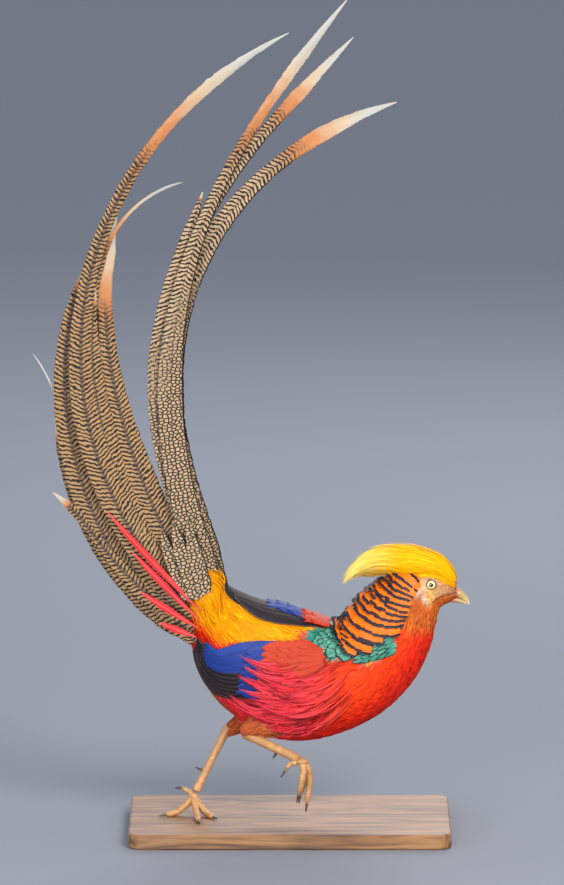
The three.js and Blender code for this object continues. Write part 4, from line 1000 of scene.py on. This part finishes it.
def covered(t, angle):
    """1 where the wings, the mantle or the cape lie over the body's small feathers."""
    a = np.abs(angle)
    in_wing = step(a, gold_edge(t) + 6, gold_edge(t) + 12) * step(a, wing_edge(t) - 4, wing_edge(t) - 14)
    in_wing = in_wing * step(t, 0.3, 0.7) * step(t, 4.0, 3.6)
    in_cape = step(a, 70, 62) * step(t, 4.6, 5.0)
    return np.maximum(in_wing, in_cape)


def is_gold(t, angle):
    """1 on the golden back."""
    return step(np.abs(angle), gold_edge(t) + 4, gold_edge(t) - 6) * step(t, 4.5, 4.3)


BODY_FEATHERS, BACK_FEATHERS = 24000, 13000
coat = Plumage("body_feathers", red_web, "plumage_red", ("torso",))
t, angle = scatter(draw, BODY_FEATHERS, lambda t, a: (1 - covered(t, a)) * (1 - is_gold(t, a)))
length = np.interp(t, [-2, 0, 3, 6, 8, 8.6], [15, 18, 20, 16, 11, 8])
half = np.interp(t, [-2, 0, 3, 6, 8, 8.6], [1.1, 1.4, 1.6, 1.4, 0.95, 0.8])[:, None]
lay_coat(coat, draw, t, angle, length, half, [-0.6, 1.6, 2.6, 2.9, 2.9], marking(t, angle))
coat.build()

gold = Plumage("golden_back_feathers", gold_web, "plumage_gold")
t, angle = scatter(draw, BACK_FEATHERS, is_gold, (-0.9, 4.4))
length = 22 + 8 * step(t, 1.2, 0.0)
for part, lifts in ((t > 0.9, [-0.5, 1.5, 2.6, 3.0, 3.0]), (t <= 0.9, [-0.5, 2.0, 3.4, 4.2, 5.0])):
    tint = marking(t[part], angle[part])
    lay_coat(gold, draw, t[part], angle[part], length[part], 0.95, lifts, tint, HAIR, twist=16, steps=6, root=0.86)
# Loose tufts that flare up round the root of the tail, and long hairs of the rump over the roots of its coverts:
# their count, places, angles, length, lifts, twist and steps.
LOOSE_HAIRS = [
    (190, (-0.9, 0.1), (-26, 34), 34.0, [0.5, 3.0, 6.0, 9.5, 12.0], 20, 8),
    (420, (-0.75, 0.3), (-108, -40), 24.0, [0.5, 3.5, 6.0, 7.5, 8.0], 18, 6),
]
for count, places, angles, length, lifts, twist, steps in LOOSE_HAIRS:
    t, angle = draw.uniform(*places, count), draw.uniform(*angles, count)
    lay_coat(gold, draw, t, angle, length, 0.8, lifts, marking(t, angle), HAIR, twist, steps, root=0.9)
gold.build()

# Wings: folded, each in tiers of flat feathers, chestnut scapulars at the shoulder, dark blue tertials and
# their coverts behind them, and the brown-black flight feathers under those.

# Places on the body of the wing's front and tip.
WING_FRONT, WING_TIP = 3.66, 0.42
# Upper and lower edge in degrees, evenly from tip to front.
WINGS = {
    "right": np.array([(-96, -146), (-64, -134), (-50, -108), (-42, -94), (-36, -82), (-28, -70), (-32, -56)], float),
    "left": np.array([(-12, 38), (-16, 58), (-16, 76), (-13, 82), (-8, 80), (-5, 70), (0, 56)], float),
}
# Each tier: colour, place of its roots, count, length, half width, share of the wing's depth, lift.
TIERS = {
    "right": [
        ("flight", 0.40, 11, 88, 7.5, (0.42, 1.0), 1.6),
        ("flight", 0.62, 9, 96, 7.5, (0.18, 0.9), 2.6),
        ("blue", 0.58, 5, 86, 10, (0.06, 0.30), 4.0),
        ("blue", 0.70, 7, 52, 9.5, (0.08, 0.86), 4.8),
        ("chestnut", 0.80, 8, 44, 7.0, (0.05, 0.85), 5.6),
        ("chestnut", 0.90, 8, 38, 6.0, (0.08, 0.85), 6.2),
        ("chestnut", 0.99, 7, 34, 5.5, (0.1, 0.85), 6.6),
        ("chestnut", 1.07, 6, 30, 5.0, (0.12, 0.85), 6.8),
    ],
    "left": [
        ("flight", 0.40, 9, 80, 7.5, (0.3, 1.0), 1.2),
        ("flight", 0.62, 9, 92, 7.5, (0.1, 0.9), 2.0),
        ("flight", 0.98, 3, 100, 7.0, (0.0, 0.12), 3.4),
        ("blue", 0.76, 3, 42, 7.0, (0.18, 0.36), 3.6),
        ("blue", 0.88, 4, 40, 7.5, (0.16, 0.5), 4.1),
        ("blue", 1.0, 5, 38, 7.5, (0.14, 0.66), 4.6),
        ("chestnut", 1.12, 5, 26, 6.5, (0.08, 0.7), 5.1),
        ("chestnut", 1.2, 4, 24, 6.5, (0.04, 0.7), 5.6),
    ],
}
BROAD = np.array([0.5, 0.82, 0.96, 1.0, 0.98, 0.9, 0.68, 0.12])


def firm_vane(name, base, edge, streak, lines=1.0):
    """Flat closed web: a base colour with fine slanting barbs, a lighter or darker rim and a thin shaft."""
    made, tree, shader = new_material(name, Roughness=0.5, Specular_IOR_Level=0.2)
    u, v, vector = vane_parts(tree)
    web = barbs(tree, u, v)
    colour = mix_colour(tree, vane_noise(tree, vector, 0.12, 0.05), linear(base), linear(streak))
    colour = mix_colour(tree, calc(tree, "MULTIPLY", web, 0.5), colour, linear("#101014"), "MULTIPLY")
    rim = calc(tree, "MULTIPLY", band(tree, attribute(tree, "rim"), 1.3, 0.3), 0.7 * lines)
    colour = mix_colour(tree, rim, colour, linear(edge))
    colour = mix_colour(tree, shaft_line(tree, u, 0.7, 0.3, 0.6 * lines), colour, linear("#1a1512"))
    set_surface(tree, shader, colour, web, 0.3, 0.0004)
    return made


# Brown-black flight feathers with pale edges, dark blue tertials, and chestnut scapulars with soft lines.
wing_kinds = {
    "flight": (firm_vane("flight_feather_web", "#1a161b", "#5c4a42", "#2c262a"), "plumage_blue"),
    "blue": (firm_vane("blue_tertial_web", "#24469c", "#16204c", "#1c3178", lines=0.7), "plumage_blue"),
    "chestnut": (firm_vane("chestnut_scapular_web", "#ba2e18", "#a82a16", "#cc4824", lines=0.35), "plumage_red"),
}
WING_STEPS = 14
WING_TILT = 7.0
SCAPULARS = 2200
s = np.linspace(0, 1, WING_STEPS + 1)
for hand, edges in WINGS.items():
    draw = np.random.default_rng(21)
    side = -1 if hand == "right" else 1
    wings = {
        kind: Plumage(f"wing_{hand}_{kind}", web, slot, (f"wing_{hand}",)) for kind, (web, slot) in wing_kinds.items()
    }
    for kind, at, count, length, half, (low, high), lift in TIERS[hand]:
        share = np.linspace(low, high, count)
        v = np.full(count, at)
        path = []
        for _ in s:
            where = WING_TIP + (WING_FRONT - WING_TIP) * v
            edge = smooth_row(edges, np.clip(v, 0, 1) * (len(edges) - 1))
            bearing = edge[:, 0] + (edge[:, 1] - edge[:, 0]) * share
            path.append((where, bearing))
            reach = np.linalg.norm(frame_on(on_body, where, bearing)[4], axis=-1)
            v = v - length / WING_STEPS / reach / (WING_FRONT - WING_TIP)
        where, bearing = np.stack(path, -1)
        rise = lift - 1.2 + 2.4 * s + draw.normal(0, 0.15, (count, 1)) * s
        width = half * np.exp(draw.normal(0, 0.05, (count, 1))) * shaped(BROAD, WING_STEPS + 1)
        root = unwrap(where[:, 0], bearing[:, 0])
        wings[kind].lay(on_body, where, bearing, rise, WING_TILT * side, width, root, columns=8, camber=0.8)
    # Loose small feathers soften the scapulars and blend them with the red flank.
    where, share = draw.uniform(2.15, 4.1, SCAPULARS), draw.uniform(0, 1, SCAPULARS)
    top = np.interp(where, [2.05, 2.58, 3.12, 3.66, 4.2], [52, 47, 40, 38, 40])
    low = np.interp(where, [2.05, 3.0, 4.2], [58, 66, 62])
    bearing = (top + (low - top) * share) * side
    if hand == "left":
        where, bearing = 3.45 + 0.7 * draw.uniform(0, 1, SCAPULARS), -2 + 60 * share
    hue = np.clip(rgb("#cc3a1c") * (0.85 + 0.3 * draw.uniform(0, 1, (SCAPULARS, 1))), 0, 1)
    scapulars = Plumage(f"scapulars_{hand}", red_web, "plumage_red")
    lay_coat(scapulars, draw, where, bearing, 14.0, 1.15, [3.0, 7.4, 8.2, 8.6, 8.6], hue)
    for plumage in (scapulars, *wings.values()):
        plumage.build()

# Mantle and cape: scale-like green feathers edged with black on the upper back, and over the neck broad squared
# orange feathers with dark bars near their ends, which lie in rows like tiles and fan out from behind the face.

ROUNDED = np.array([0.45, 0.75, 0.92, 1.0, 1.0, 0.94, 0.8, 0.52, 0.1])
SQUARED = np.array([0.5, 0.68, 0.82, 0.92, 0.98, 1.0, 1.0, 0.98, 0.92, 0.72])


def cape_line(place, bow, angle):
    """The place of a cape row's tips at an angle; the rows bow forwards round the neck."""
    return place + bow * (np.abs(angle) / 75) ** 1.8


def tiled(plumage, draw, line, angle, length, half, lifts, profile, turn=1.0, loose=0.0, tilt=5.0, columns=10):
    """Feathers whose tips lie on a line over the neck and whose shafts stand square to it."""
    count, steps = len(angle), 12
    tips = line(angle) + draw.normal(0, 1, count) * (0.014 + loose * 0.01 * np.exp(-((angle / 30) ** 2)))
    slope = (line(angle + 1) - line(angle - 1)) / 2
    _, _, back, aside, by_place, by_angle = frame_on(on_body, tips, angle)
    along_line = by_angle + slope[:, None] * by_place
    heading = np.degrees(np.arctan2(-np.sum(along_line * back, -1), np.sum(along_line * aside, -1)))
    heading = turn * heading + draw.normal(0, 1.5, count)
    lengths = length * (1 + draw.normal(0, 0.03, count))
    where, bearing = walk(on_body, tips, angle, heading, -lengths, steps)
    where, bearing = where[:, ::-1], bearing[:, ::-1]
    s = np.linspace(0, 1, steps + 1)
    rise = shaped(lifts, steps + 1) + draw.normal(0, 0.15, (count, 1)) * s
    rise = rise + loose * np.exp(-((angle[:, None] / 30) ** 2)) * s**3
    tilt = -np.sign(angle)[:, None] * tilt
    width = half * shaped(profile, steps + 1) * np.exp(draw.normal(0, 0.06, (count, 1)))
    root = unwrap(where[:, 0], bearing[:, 0])
    plumage.lay(on_body, where, bearing, rise, tilt, width, root, columns=columns, camber=0.5, length=lengths)


# Green scale feather: metallic blue-green web in lengthwise streaks from deep green to pale mint, inside a velvety
# black margin. The pale mint streaks are partly the web's own paler green and partly painted highlight.
green, tree, shader = new_material("green_mantle_web", Roughness=0.38, Specular_IOR_Level=0.3)
u, v, vector = vane_parts(tree)
inside = calc(tree, "MINIMUM", calc(tree, "MULTIPLY", attribute(tree, "to_tip"), 0.6), attribute(tree, "rim"))
colour = ramp(tree, vane_noise(tree, vector, 0.9, 0.08), [(0.3, "#205e50"), (0.5, "#318068"), (0.7, "#74b096")])
colour = mix_colour(tree, band(tree, inside, 1.15, 0.65), colour, linear("#0b0f10"))
set_surface(tree, shader, colour, barbs(tree, u, v), 0.3, 0.0004)
# Cape feather: clear orange web crossed by two blue-black bars, the outer one along its squared end.
banded, tree, shader = new_material("banded_cape_web", Roughness=0.5, Specular_IOR_Level=0.2)
_, _, vector = vane_parts(tree)
ragged_edge = vane_noise(tree, vector, 0.7, 0.05, 2.0)
inward = calc(tree, "MULTIPLY_ADD", ragged_edge, 1.6, calc(tree, "SUBTRACT", attribute(tree, "to_tip"), 0.8))
# The ramp's place 1 lies 20 mm from the feather's tip.
# The grey-blue stop inside the outer black bar is a thin line of painted sheen.
cape_stops = [
    (0.0, "#0c0b12"), (0.035, "#15131c"), (0.055, "#45445a"), (0.075, "#121018"), (0.135, "#1a1218"),
    (0.16, "#e86c08"), (0.42, "#ee740a"), (0.5, "#e06a12"), (0.55, "#1a1218"), (0.66, "#1a1218"), (0.7, "#e8740f"),
]  # fmt: skip
colour = ramp(tree, calc(tree, "DIVIDE", inward, 20.0), cape_stops)
fibres = vane_noise(tree, vector, 1.4, 0.06)
colour = mix_colour(tree, 0.5, colour, ramp(tree, fibres, [(0.3, "#a8a8a8"), (0.65, "#ffffff")]), "MULTIPLY")
set_surface(tree, shader, colour, fibres, 0.35, 0.0005)

draw = np.random.default_rng(31)
mantle = Plumage("mantle_feathers", green, "plumage_orange", ("torso",))
# Rows of scales one behind the other, and the place from one to the next.
MANTLE_ROWS, MANTLE_STEP = 16, 0.2
for row in range(MANTLE_ROWS):
    angle = np.arange(-97.0 + 3.5 * (row % 2), 98, 7.0)
    angle = angle + draw.normal(0, 0.5, len(angle))
    ahead = MANTLE_STEP * row
    tips = mantle_line(angle) + ahead
    covered_from = np.where(np.abs(angle) < 46, cape_line(4.4, 1.4, angle) + 0.3, cape_line(5.65, 1.05, angle) + 0.1)
    seen = (tips < covered_from) & ((np.abs(angle) < 74) | (tips < 6.35)) & (np.abs(angle) < 93)
    aside = np.abs(angle) > 48
    for part, length, half, turn in ((seen & ~aside, 17.0, 4.9, 0.3), (seen & aside, 22.0, 3.3, -0.5)):
        if part.any():
            tiled(
                mantle, draw, lambda a, ahead=ahead: mantle_line(a) + ahead, angle[part], length, half,
                [-1.6, 0.8, 1.7, 2.2], ROUNDED, turn=turn, tilt=4.0, columns=6,
            )  # fmt: skip
mantle.build()

# Each row: the place of its tips on the back, how far it bows forwards, and its reach to either side in degrees.
CAPE_ROWS = [
    (4.4, 1.4, 47), (4.9, 1.05, 60), (5.3, 1.05, 66), (5.65, 1.05, 79), (6.0, 1.05, 78), (6.38, 0.9, 76),
    (6.75, 0.7, 76), (7.0, 0.66, 74), (7.25, 0.64, 70), (7.6, 0.6, 66), (7.9, 0.55, 62), (8.25, 0.52, 60),
    (8.65, 0.5, 56),
]  # fmt: skip
IN_CAPE_ROW = 17
cape = Plumage("cape_feathers", banded, "plumage_orange", ("neck",))
for t, bow, reach in CAPE_ROWS:
    rise = np.interp(t, [4.4, 5.4, 6.5, 7.5, 8.65], [4.5, 6.5, 8.0, 8.2, 6.0])
    length, half = np.interp(t, [4.4, 5.4, 8.65], [36, 36, 20]), np.interp(t, [4.4, 5.4, 8.65], [8.0, 8.0, 4.6])
    angle = np.linspace(-reach, reach, IN_CAPE_ROW) + draw.normal(0, 1.3, IN_CAPE_ROW)
    lifts = [-1.5, 0.45 * rise, 0.8 * rise, rise]
    tiled(cape, draw, lambda a, t=t, bow=bow: cape_line(t, bow, a), angle, length, half, lifts, SQUARED, loose=6.5)
cape.build()

# Flank plumes: long loose rose-red feathers whose barbs part into tapering locks, which hang from the sides of the
# breast over the folded wings.

LOCKS = {"count": 62, "strands": 11, "half": 1.0, "steps": 14}


def lock_path(u, draw):
    """Root and tip of a lock, as place and angle, for u from the uppermost lock to the lowest."""
    root = (np.interp(u, [0, 0.5, 1], [3.25, 3.05, 2.7]), np.interp(u, [0, 0.4, 1], [50, 72, 104]))
    tip = (np.interp(u, [0, 0.3, 0.6, 1], [1.3, 1.4, 1.45, 1.4]), np.interp(u, [0, 0.3, 0.6, 1], [68, 82, 104, 134]))
    ahead = draw.choice([0, 0.35, 0.8, 1.25]) + draw.normal(0, 0.1)
    root = np.array(root) + draw.normal(0, (0.08, 2.0)) + (ahead, -2 * ahead)
    return root, np.array(tip) + draw.normal(0, (0.12, 2.5)) + (ahead, -3 * ahead)


# Rose web: as loose as the scarlet one, a little smoother and cooler in colour.
rose_web = soft_vane("rose_flank_web", roughness=0.55, contrast=0.25)
draw = np.random.default_rng(41)
plumes = Plumage("flank_plumes", rose_web, "plumage_red")
for side in (-1, 1):
    for i in range(LOCKS["count"]):
        (t0, a0), (t1, a1) = lock_path((i + 0.5) / LOCKS["count"], draw)
        n, k = LOCKS["strands"], LOCKS["steps"] + 1
        s = np.linspace(0, 1, k)[None, :]
        root_t = t0 + draw.normal(0, 0.16, (n, 1))
        root_a = a0 + draw.normal(0, 3.2, (n, 1))
        gather = 1 - s**1.3
        where = root_t * (1 - s) + t1 * s + (root_t - t0) * gather * 0.6
        arc = draw.normal(4, 2) * np.sin(np.pi * s)
        bearing = side * (root_a * (1 - s) + a1 * s + arc + (root_a - a0) * gather * 0.5)
        shorter = draw.uniform(0.72, 1.0, (n, 1))
        where = root_t + (where - root_t) * shorter
        bearing = side * root_a + (bearing - side * root_a) * shorter
        top = draw.uniform(8.0, 10.8)
        rise = np.interp(s, [0, 0.22, 0.5, 1], [-1.2, 5.0, top, top - 0.5]) + draw.normal(0, 0.5, (n, 1)) * s
        twist = draw.normal(0, 28, (n, 1))
        base = marking(where[:, 0], np.maximum(np.abs(bearing[:, 0]), 88))
        # Painted shade on the outer strands of each lock and a faint painted highlight on its middle ones.
        edge = 1.1 - 0.75 * np.minimum(np.abs(root_a - a0) / 6, 1)
        tone = blend(base[:, None], rgb("#f04058"), 0.75 * s[..., None])
        tone = np.clip(tone * edge[..., None] * np.exp(draw.normal(0.05, 0.2, (n, 1, 1))), 0, 1)
        half, root = LOCKS["half"] * shaped(HAIR, k), unwrap(where[:, 0], bearing[:, 0])
        plumes.lay(on_body, where, bearing, rise, twist, half, root, tone)
plumes.build()

# Upper tail coverts: narrow stiff scarlet feathers that lie over the roots of the tail on either side, and three
# short spotted ones above them on the right, like small central tail feathers.

# A shape for tail_feather that is slim at both ends.
LANCE = taper((0, 0.15), (0.2, 0.55), (0.5, 1), (0.75, 0.78), (0.92, 0.36), (1, 0.03))
# Rows as for the tail.
COVERTS = [
    (-99, 261, 154, 135, 131, 1, 0, 8, -33, RIGHT, LANCE, 1),
    (-101, 252, 108, 137, 132, 1, 0, 8, -33, RIGHT, LANCE, 1),
    (-103, 243, 77, 150, 146, 1, 0, 8, -33, RIGHT, LANCE, 1),
    (-105, 232, 44, 160, 158, 1, 0, 8, -31, RIGHT, LANCE, 1),
    (-97, 259, 144, 138, 132, 1, 0, 8, 30, LEFT, LANCE, 1),
    (-101, 248, 104, 142, 136, 1, 0, 8, 29, LEFT, LANCE, 1),
]
SPOTTED_COVERTS = [
    (-109, 274, 84, 120, 108, 1, 0, 18, -31, RIGHT, TAPERING, 1),
    (-101, 276, 90, 114, 104, 1, 0, 20, -33, RIGHT, TAPERING, 1),
    (-93, 281, 86, 108, 100, 1, 0, 18, -32, RIGHT, TAPERING, 1),
]
# How far the plane of each feather drifts to the left on its way, in millimetres.
COVERT_DRIFTS = [8, 7, 5, 3, -8, -7]
SPOTTED_DRIFTS = [12, 14, 12]
# Scarlet blade: close streaked web of a deep red, with a pale shaft.
scarlet_blade, tree, shader = new_material("scarlet_covert_web", Roughness=0.55, Specular_IOR_Level=0.25)
u, v, vector = vane_parts(tree)
colour = ramp(tree, vane_noise(tree, vector, 0.9, 0.03), [(0.3, "#98101a"), (0.55, "#c41c24"), (0.75, "#d83a3c")])
colour = mix_colour(tree, shaft_line(tree, u, 0.6, 0.2, 0.4), colour, linear("#f08070"))
set_surface(tree, shader, colour, barbs(tree, u, v), 0.35, 0.0004)
coverts = tail_mesh("tail_coverts", COVERTS, scarlet_blade, 8, COVERT_DRIFTS)
settle(coverts, "plumage_red", "tail_base")
spotted = tail_mesh("tail_coverts_spotted", SPOTTED_COVERTS, central_vane, 10, SPOTTED_DRIFTS)
settle(spotted, "plumage_tan", "tail_base")

# Crest: a cap of long silky golden hair-like feathers, which start at the brow, sweep over the crown and end in a
# wispy point behind the head.

CREST = np.array([
    (184, 288.5, 3, 5.5), (177.5, 294.5, 8.5, 10.5), (163, 306, 13, 14.5), (143, 311, 16, 16.5), (123, 312.5, 17, 16),
    (105, 314.5, 14, 12.5), (88, 311.5, 9.5, 8.5), (72.5, 302.5, 5, 4.5), (59, 287.5, 0.9, 0.9),
])  # fmt: skip


def on_crest(where, angle, lift=0.0):
    """Points of the crest's surface at places along it and angles in degrees from its top."""
    where, angle, lift = np.broadcast_arrays(np.asarray(where, float), angle, lift)
    x, z, deep, wide = np.moveaxis(smooth_row(CREST, where), -1, 0)
    ahead = smooth_row(CREST[:, :2], where + 0.05) - smooth_row(CREST[:, :2], where - 0.05)
    ahead = unit(np.stack([ahead[..., 0], 0 * x, ahead[..., 1]], -1))
    up = -np.cross(ahead, [0, 1.0, 0])
    a = np.radians(angle)
    side = np.array([0, 1.0, 0])
    middle = np.stack([x, np.full(x.shape, HEAD_Y), z], -1)
    return middle + up * ((deep + lift) * np.cos(a))[..., None] + side * ((wide + lift) * np.sin(a))[..., None]


# Silk: bright yellow hairs with fine faint streaks and a soft gloss.
silk = soft_vane("golden_crest_silk", roughness=0.45, contrast=0.16, fibre=1.4, gloss=0.08)
draw = np.random.default_rng(51)
crest = Plumage("crest_feathers", silk, "crest_yellow", ("crest",))
low, mid, high = rgb("#f0a204"), rgb("#f2b802"), rgb("#fdec84")
LONG_HAIRS, CROWN_HAIRS, k = 7600, 3600, 13
hair = shaped(HAIR, k)
count = LONG_HAIRS
s = np.linspace(0, 1, k)[None, :]
start = draw.beta(1.1, 1.5, (count, 1)) * 5.2
long = draw.uniform(1.6, 3.6, (count, 1))
end = np.minimum(start + long, 7.2 + 0.9 * draw.beta(2.0, 1.6, (count, 1)))
angle = draw.uniform(-1, 1, (count, 1)) * np.where(start > 2.8, 180, 125) + draw.normal(0, 5, (count, 1)) * s
where = start + (end - start) * s
layer = draw.uniform(-3.5, 0.4, (count, 1))
rise = layer + 1.3 * s + draw.normal(0, 0.5, (count, 1)) * s
rise = rise + draw.choice([0, 3.5], (count, 1), p=[0.88, 0.12]) * draw.uniform(0.2, 1, (count, 1)) * s**3
rise = rise + 7.0 * (np.abs(angle) / 180) ** 4 * np.exp(-(((where - 6.0) / 1.2) ** 2))
twist = draw.normal(0, 16, (count, 1))
far = np.clip((where - 4.2) / 3.8, 0, 1)[..., None]
under = step(np.abs(angle), 60, 110)[..., None]
tone = blend(blend(mid, high, far), low, 0.35 * under * (1 - far))
tone = blend(tone, low, step(where, 1.8, 0.4)[..., None] * 0.55)
tone = np.clip(tone * np.exp(draw.normal(0, 0.1, (count, 1, 1))), 0, 1)
half = 0.5 * hair * np.exp(draw.normal(0, 0.2, (count, 1)))
root = 0.01 + 0.98 * np.concatenate([start / 8, (angle[:, :1] + 200) / 400], 1)
crest.lay(on_crest, where, angle, rise, twist, half, root, tone)
# Shorter strands hug the crown from the brow back over the eye to the cape.
count = CROWN_HAIRS
share = draw.uniform(0.2, 1.0, (count, 1)) * draw.choice([-1, 1], (count, 1))
start = draw.uniform(9.2, 13.2, (count, 1))
where = start - draw.uniform(0.5, 0.85, (count, 1)) * s
angle = share * crown_edge(where)
rise = np.interp(s, [0, 0.4, 1], [-0.6, 1.0, 1.8]) + draw.normal(0, 0.3, (count, 1)) * s
rise = skin_lift(where, angle) * 0.5 + rise
twist = draw.normal(0, 18, (count, 1))
front = (step(where, 10.4, 12.4) * step(np.abs(share), 0.3, 0.9))[..., None]
tone = np.clip(blend(mid, low, front) * np.exp(draw.normal(0, 0.1, (count, 1, 1))), 0, 1)
crest.lay(on_body, where, angle, rise, twist, 0.45 * hair, unwrap(start[:, 0], angle[:, 0]), tone)
crest.build()

# Face: very short feathers, buff round the eye, pale over the ear and rust-brown on the throat, which thin out
# towards the bill and the lids.

# Face down: matt short web with faint streaks.
face_web = soft_vane("face_down_web", roughness=0.65, contrast=0.25)
draw = np.random.default_rng(61)
face = Plumage("face_feathers", face_web, "plumage_orange", ("head",))
FACE_FEATHERS = 15000


def on_face(t, angle):
    """1 on the face, apart from the bare ring round each eye."""
    eye_gap = np.hypot((t - EYE_PLACE) / 0.52, (np.abs(angle) - EYE_ANGLE) / 19)
    return (eye_gap > 1) * step(t, 13.9, 13.2)


t, angle = scatter(draw, FACE_FEATHERS, on_face, (8.2, 13.8))
near_eye = hump(t, angle, EYE_PLACE, EYE_ANGLE, 0.9, 34)
length = np.interp(t, [8.2, 9.5, 11, 13.8], [8.5, 5.5, 3.4, 2.0]) * (1 - 0.3 * near_eye)
half = np.interp(t, [8.2, 9.5, 13.8], [0.75, 0.55, 0.4])[:, None]
lay_coat(face, draw, t, angle, length, half, [-0.3, 0.5, 0.9, 1.0], marking(t, angle), steps=4)
face.build()

# Thighs: muscles under short tan feathers, which end in a ragged cuff at the top of each shank.

# Tan web: the mattest of the loose webs.
thigh_web = soft_vane("tan_thigh_web", roughness=0.65)
THIGH_AROUND, THIGH_FEATHERS, k = 40, 3000, 6
s = np.linspace(0, 1, k)
draw = np.random.default_rng(71)
tan = rgb("#b8582c")


def thigh_surface(rows):
    """A function for points of a thigh's surface, at places along it and angles in degrees from its front."""

    def on_thigh(where, angle, lift=0.0):
        where, angle, lift = np.broadcast_arrays(np.asarray(where, float), angle, lift)
        values = smooth_row(rows, where)
        way = unit(smooth_row(rows[:, :3], where + 0.05) - smooth_row(rows[:, :3], where - 0.05))
        side = unit(np.array([0, 1.0, 0]) - way * way[..., 1:2])
        a = np.radians(angle)
        high = ((values[..., 3] + lift) * np.cos(a))[..., None]
        wide = ((values[..., 4] + lift) * np.sin(a))[..., None]
        return values[..., :3] + np.cross(side, way) * high + side * wide

    return on_thigh


for hand, leg in LEGS.items():
    points, _, _ = limb(leg["thigh"], per_mm=0.6, around=THIGH_AROUND)
    faces = grid(len(points), THIGH_AROUND, True)
    # The skin under the tufts is the tan darkened to 0.7, painted shade between them.
    tint = np.tile(tan * 0.7, (points.size // 3, 1))
    muscle = add_mesh(f"thigh_{hand}_skin", points, faces, down, colours={"tint": tint})
    settle(muscle, "plumage_tan", f"thigh_{hand}")
    n = THIGH_FEATHERS
    where, angle = draw.uniform(0, 3.85, n), draw.uniform(-180, 180, n)
    reach = np.interp(where, [0, 2, 3], [0.34, 0.34, 0.3]) * draw.uniform(0.7, 1.2, n)
    path = np.minimum(where[:, None] + reach[:, None] * s, 4.0)
    rise = np.interp(s, [0, 0.5, 1], [-1.2, 0.2, 0.5])
    on_thigh = thigh_surface(np.array(leg["thigh"], float))
    twist = draw.normal(0, 24, (n, 1))
    # Each tuft is darker at its root and lighter at its tip: painted shade under the others and a faint painted
    # highlight.
    tone = varied(np.tile(tan, (n, 1)), draw)[:, None] * np.linspace(0.75, 1.1, k)[None, :, None]
    root = 0.01 + 0.98 * np.stack([where / 4.2, (angle + 180) / 360], -1)
    tufts = Plumage(f"thigh_{hand}_feathers", thigh_web, "plumage_tan", (f"thigh_{hand}",))
    half = 1.1 * shaped(LEAF, k)
    tufts.lay(on_thigh, path, angle[:, None], rise, twist, half, root, np.clip(tone, 0, 1))
    tufts.build()

# Stage: a pale plain floor and soft studio light. The camera stands where the photographer did, facing the bird's
# right side from a little above it, with a long lens.

bpy.context.scene.view_settings.view_transform = "Standard"
floor_paint, tree, shader = new_material("pale_floor", Roughness=0.9, Specular_IOR_Level=0.1)
shader.inputs["Base Color"].default_value = linear("#7e828a")
bpy.ops.mesh.primitive_plane_add(size=40, location=(0, 0, 0))
floor = bpy.context.object
floor.name = "floor"
floor.data.materials.append(floor_paint)

world = bpy.context.scene.world or bpy.data.worlds.new("world")
bpy.context.scene.world = world
world.use_nodes = True
sky = world.node_tree.nodes["Background"]
sky.inputs["Color"].default_value = linear("#d6dbe6")
sky.inputs["Strength"].default_value = 1.05

# Each light: name, place, size, watts and colour. The low fill stands for the light that snow throws up.
LIGHTS = [
    ("key_light", (1.3, -2.5, 2.3), 1.4, 116, "#fff8f0"),
    ("fill_light", (-1.0, -2.8, 0.3), 2.2, 118, "#f2f4ff"),
    ("rim_light", (0.6, 2.6, 2.2), 1.6, 50, "#ffffff"),
]
AIM = Vector((0.0, 0.0, 0.35))
for name, place, size, watts, colour in LIGHTS:
    lamp_data = bpy.data.lights.new(name, "AREA")
    lamp_data.shape = "DISK"
    lamp_data.size = size
    lamp_data.energy = watts
    lamp_data.color = linear(colour)[:3]
    lamp = bpy.data.objects.new(name, lamp_data)
    bpy.context.scene.collection.objects.link(lamp)
    lamp.location = place
    lamp.rotation_euler = (AIM - lamp.location).to_track_quat("-Z", "Y").to_euler()

TARGET = Vector((-0.0089, 0, 0.4421))
ELEVATION = math.radians(10)
DISTANCE = 9.0
LENS = 328.3
camera_data = bpy.data.cameras.new("camera")
camera_data.sensor_fit = "AUTO"
camera_data.sensor_width = 36
camera_data.lens = LENS
camera = bpy.data.objects.new("camera", camera_data)
bpy.context.scene.collection.objects.link(camera)
camera.location = TARGET + DISTANCE * Vector((0, -math.cos(ELEVATION), math.sin(ELEVATION)))
camera.rotation_euler = (TARGET - camera.location).to_track_quat("-Z", "Y").to_euler()
bpy.context.scene.camera = camera
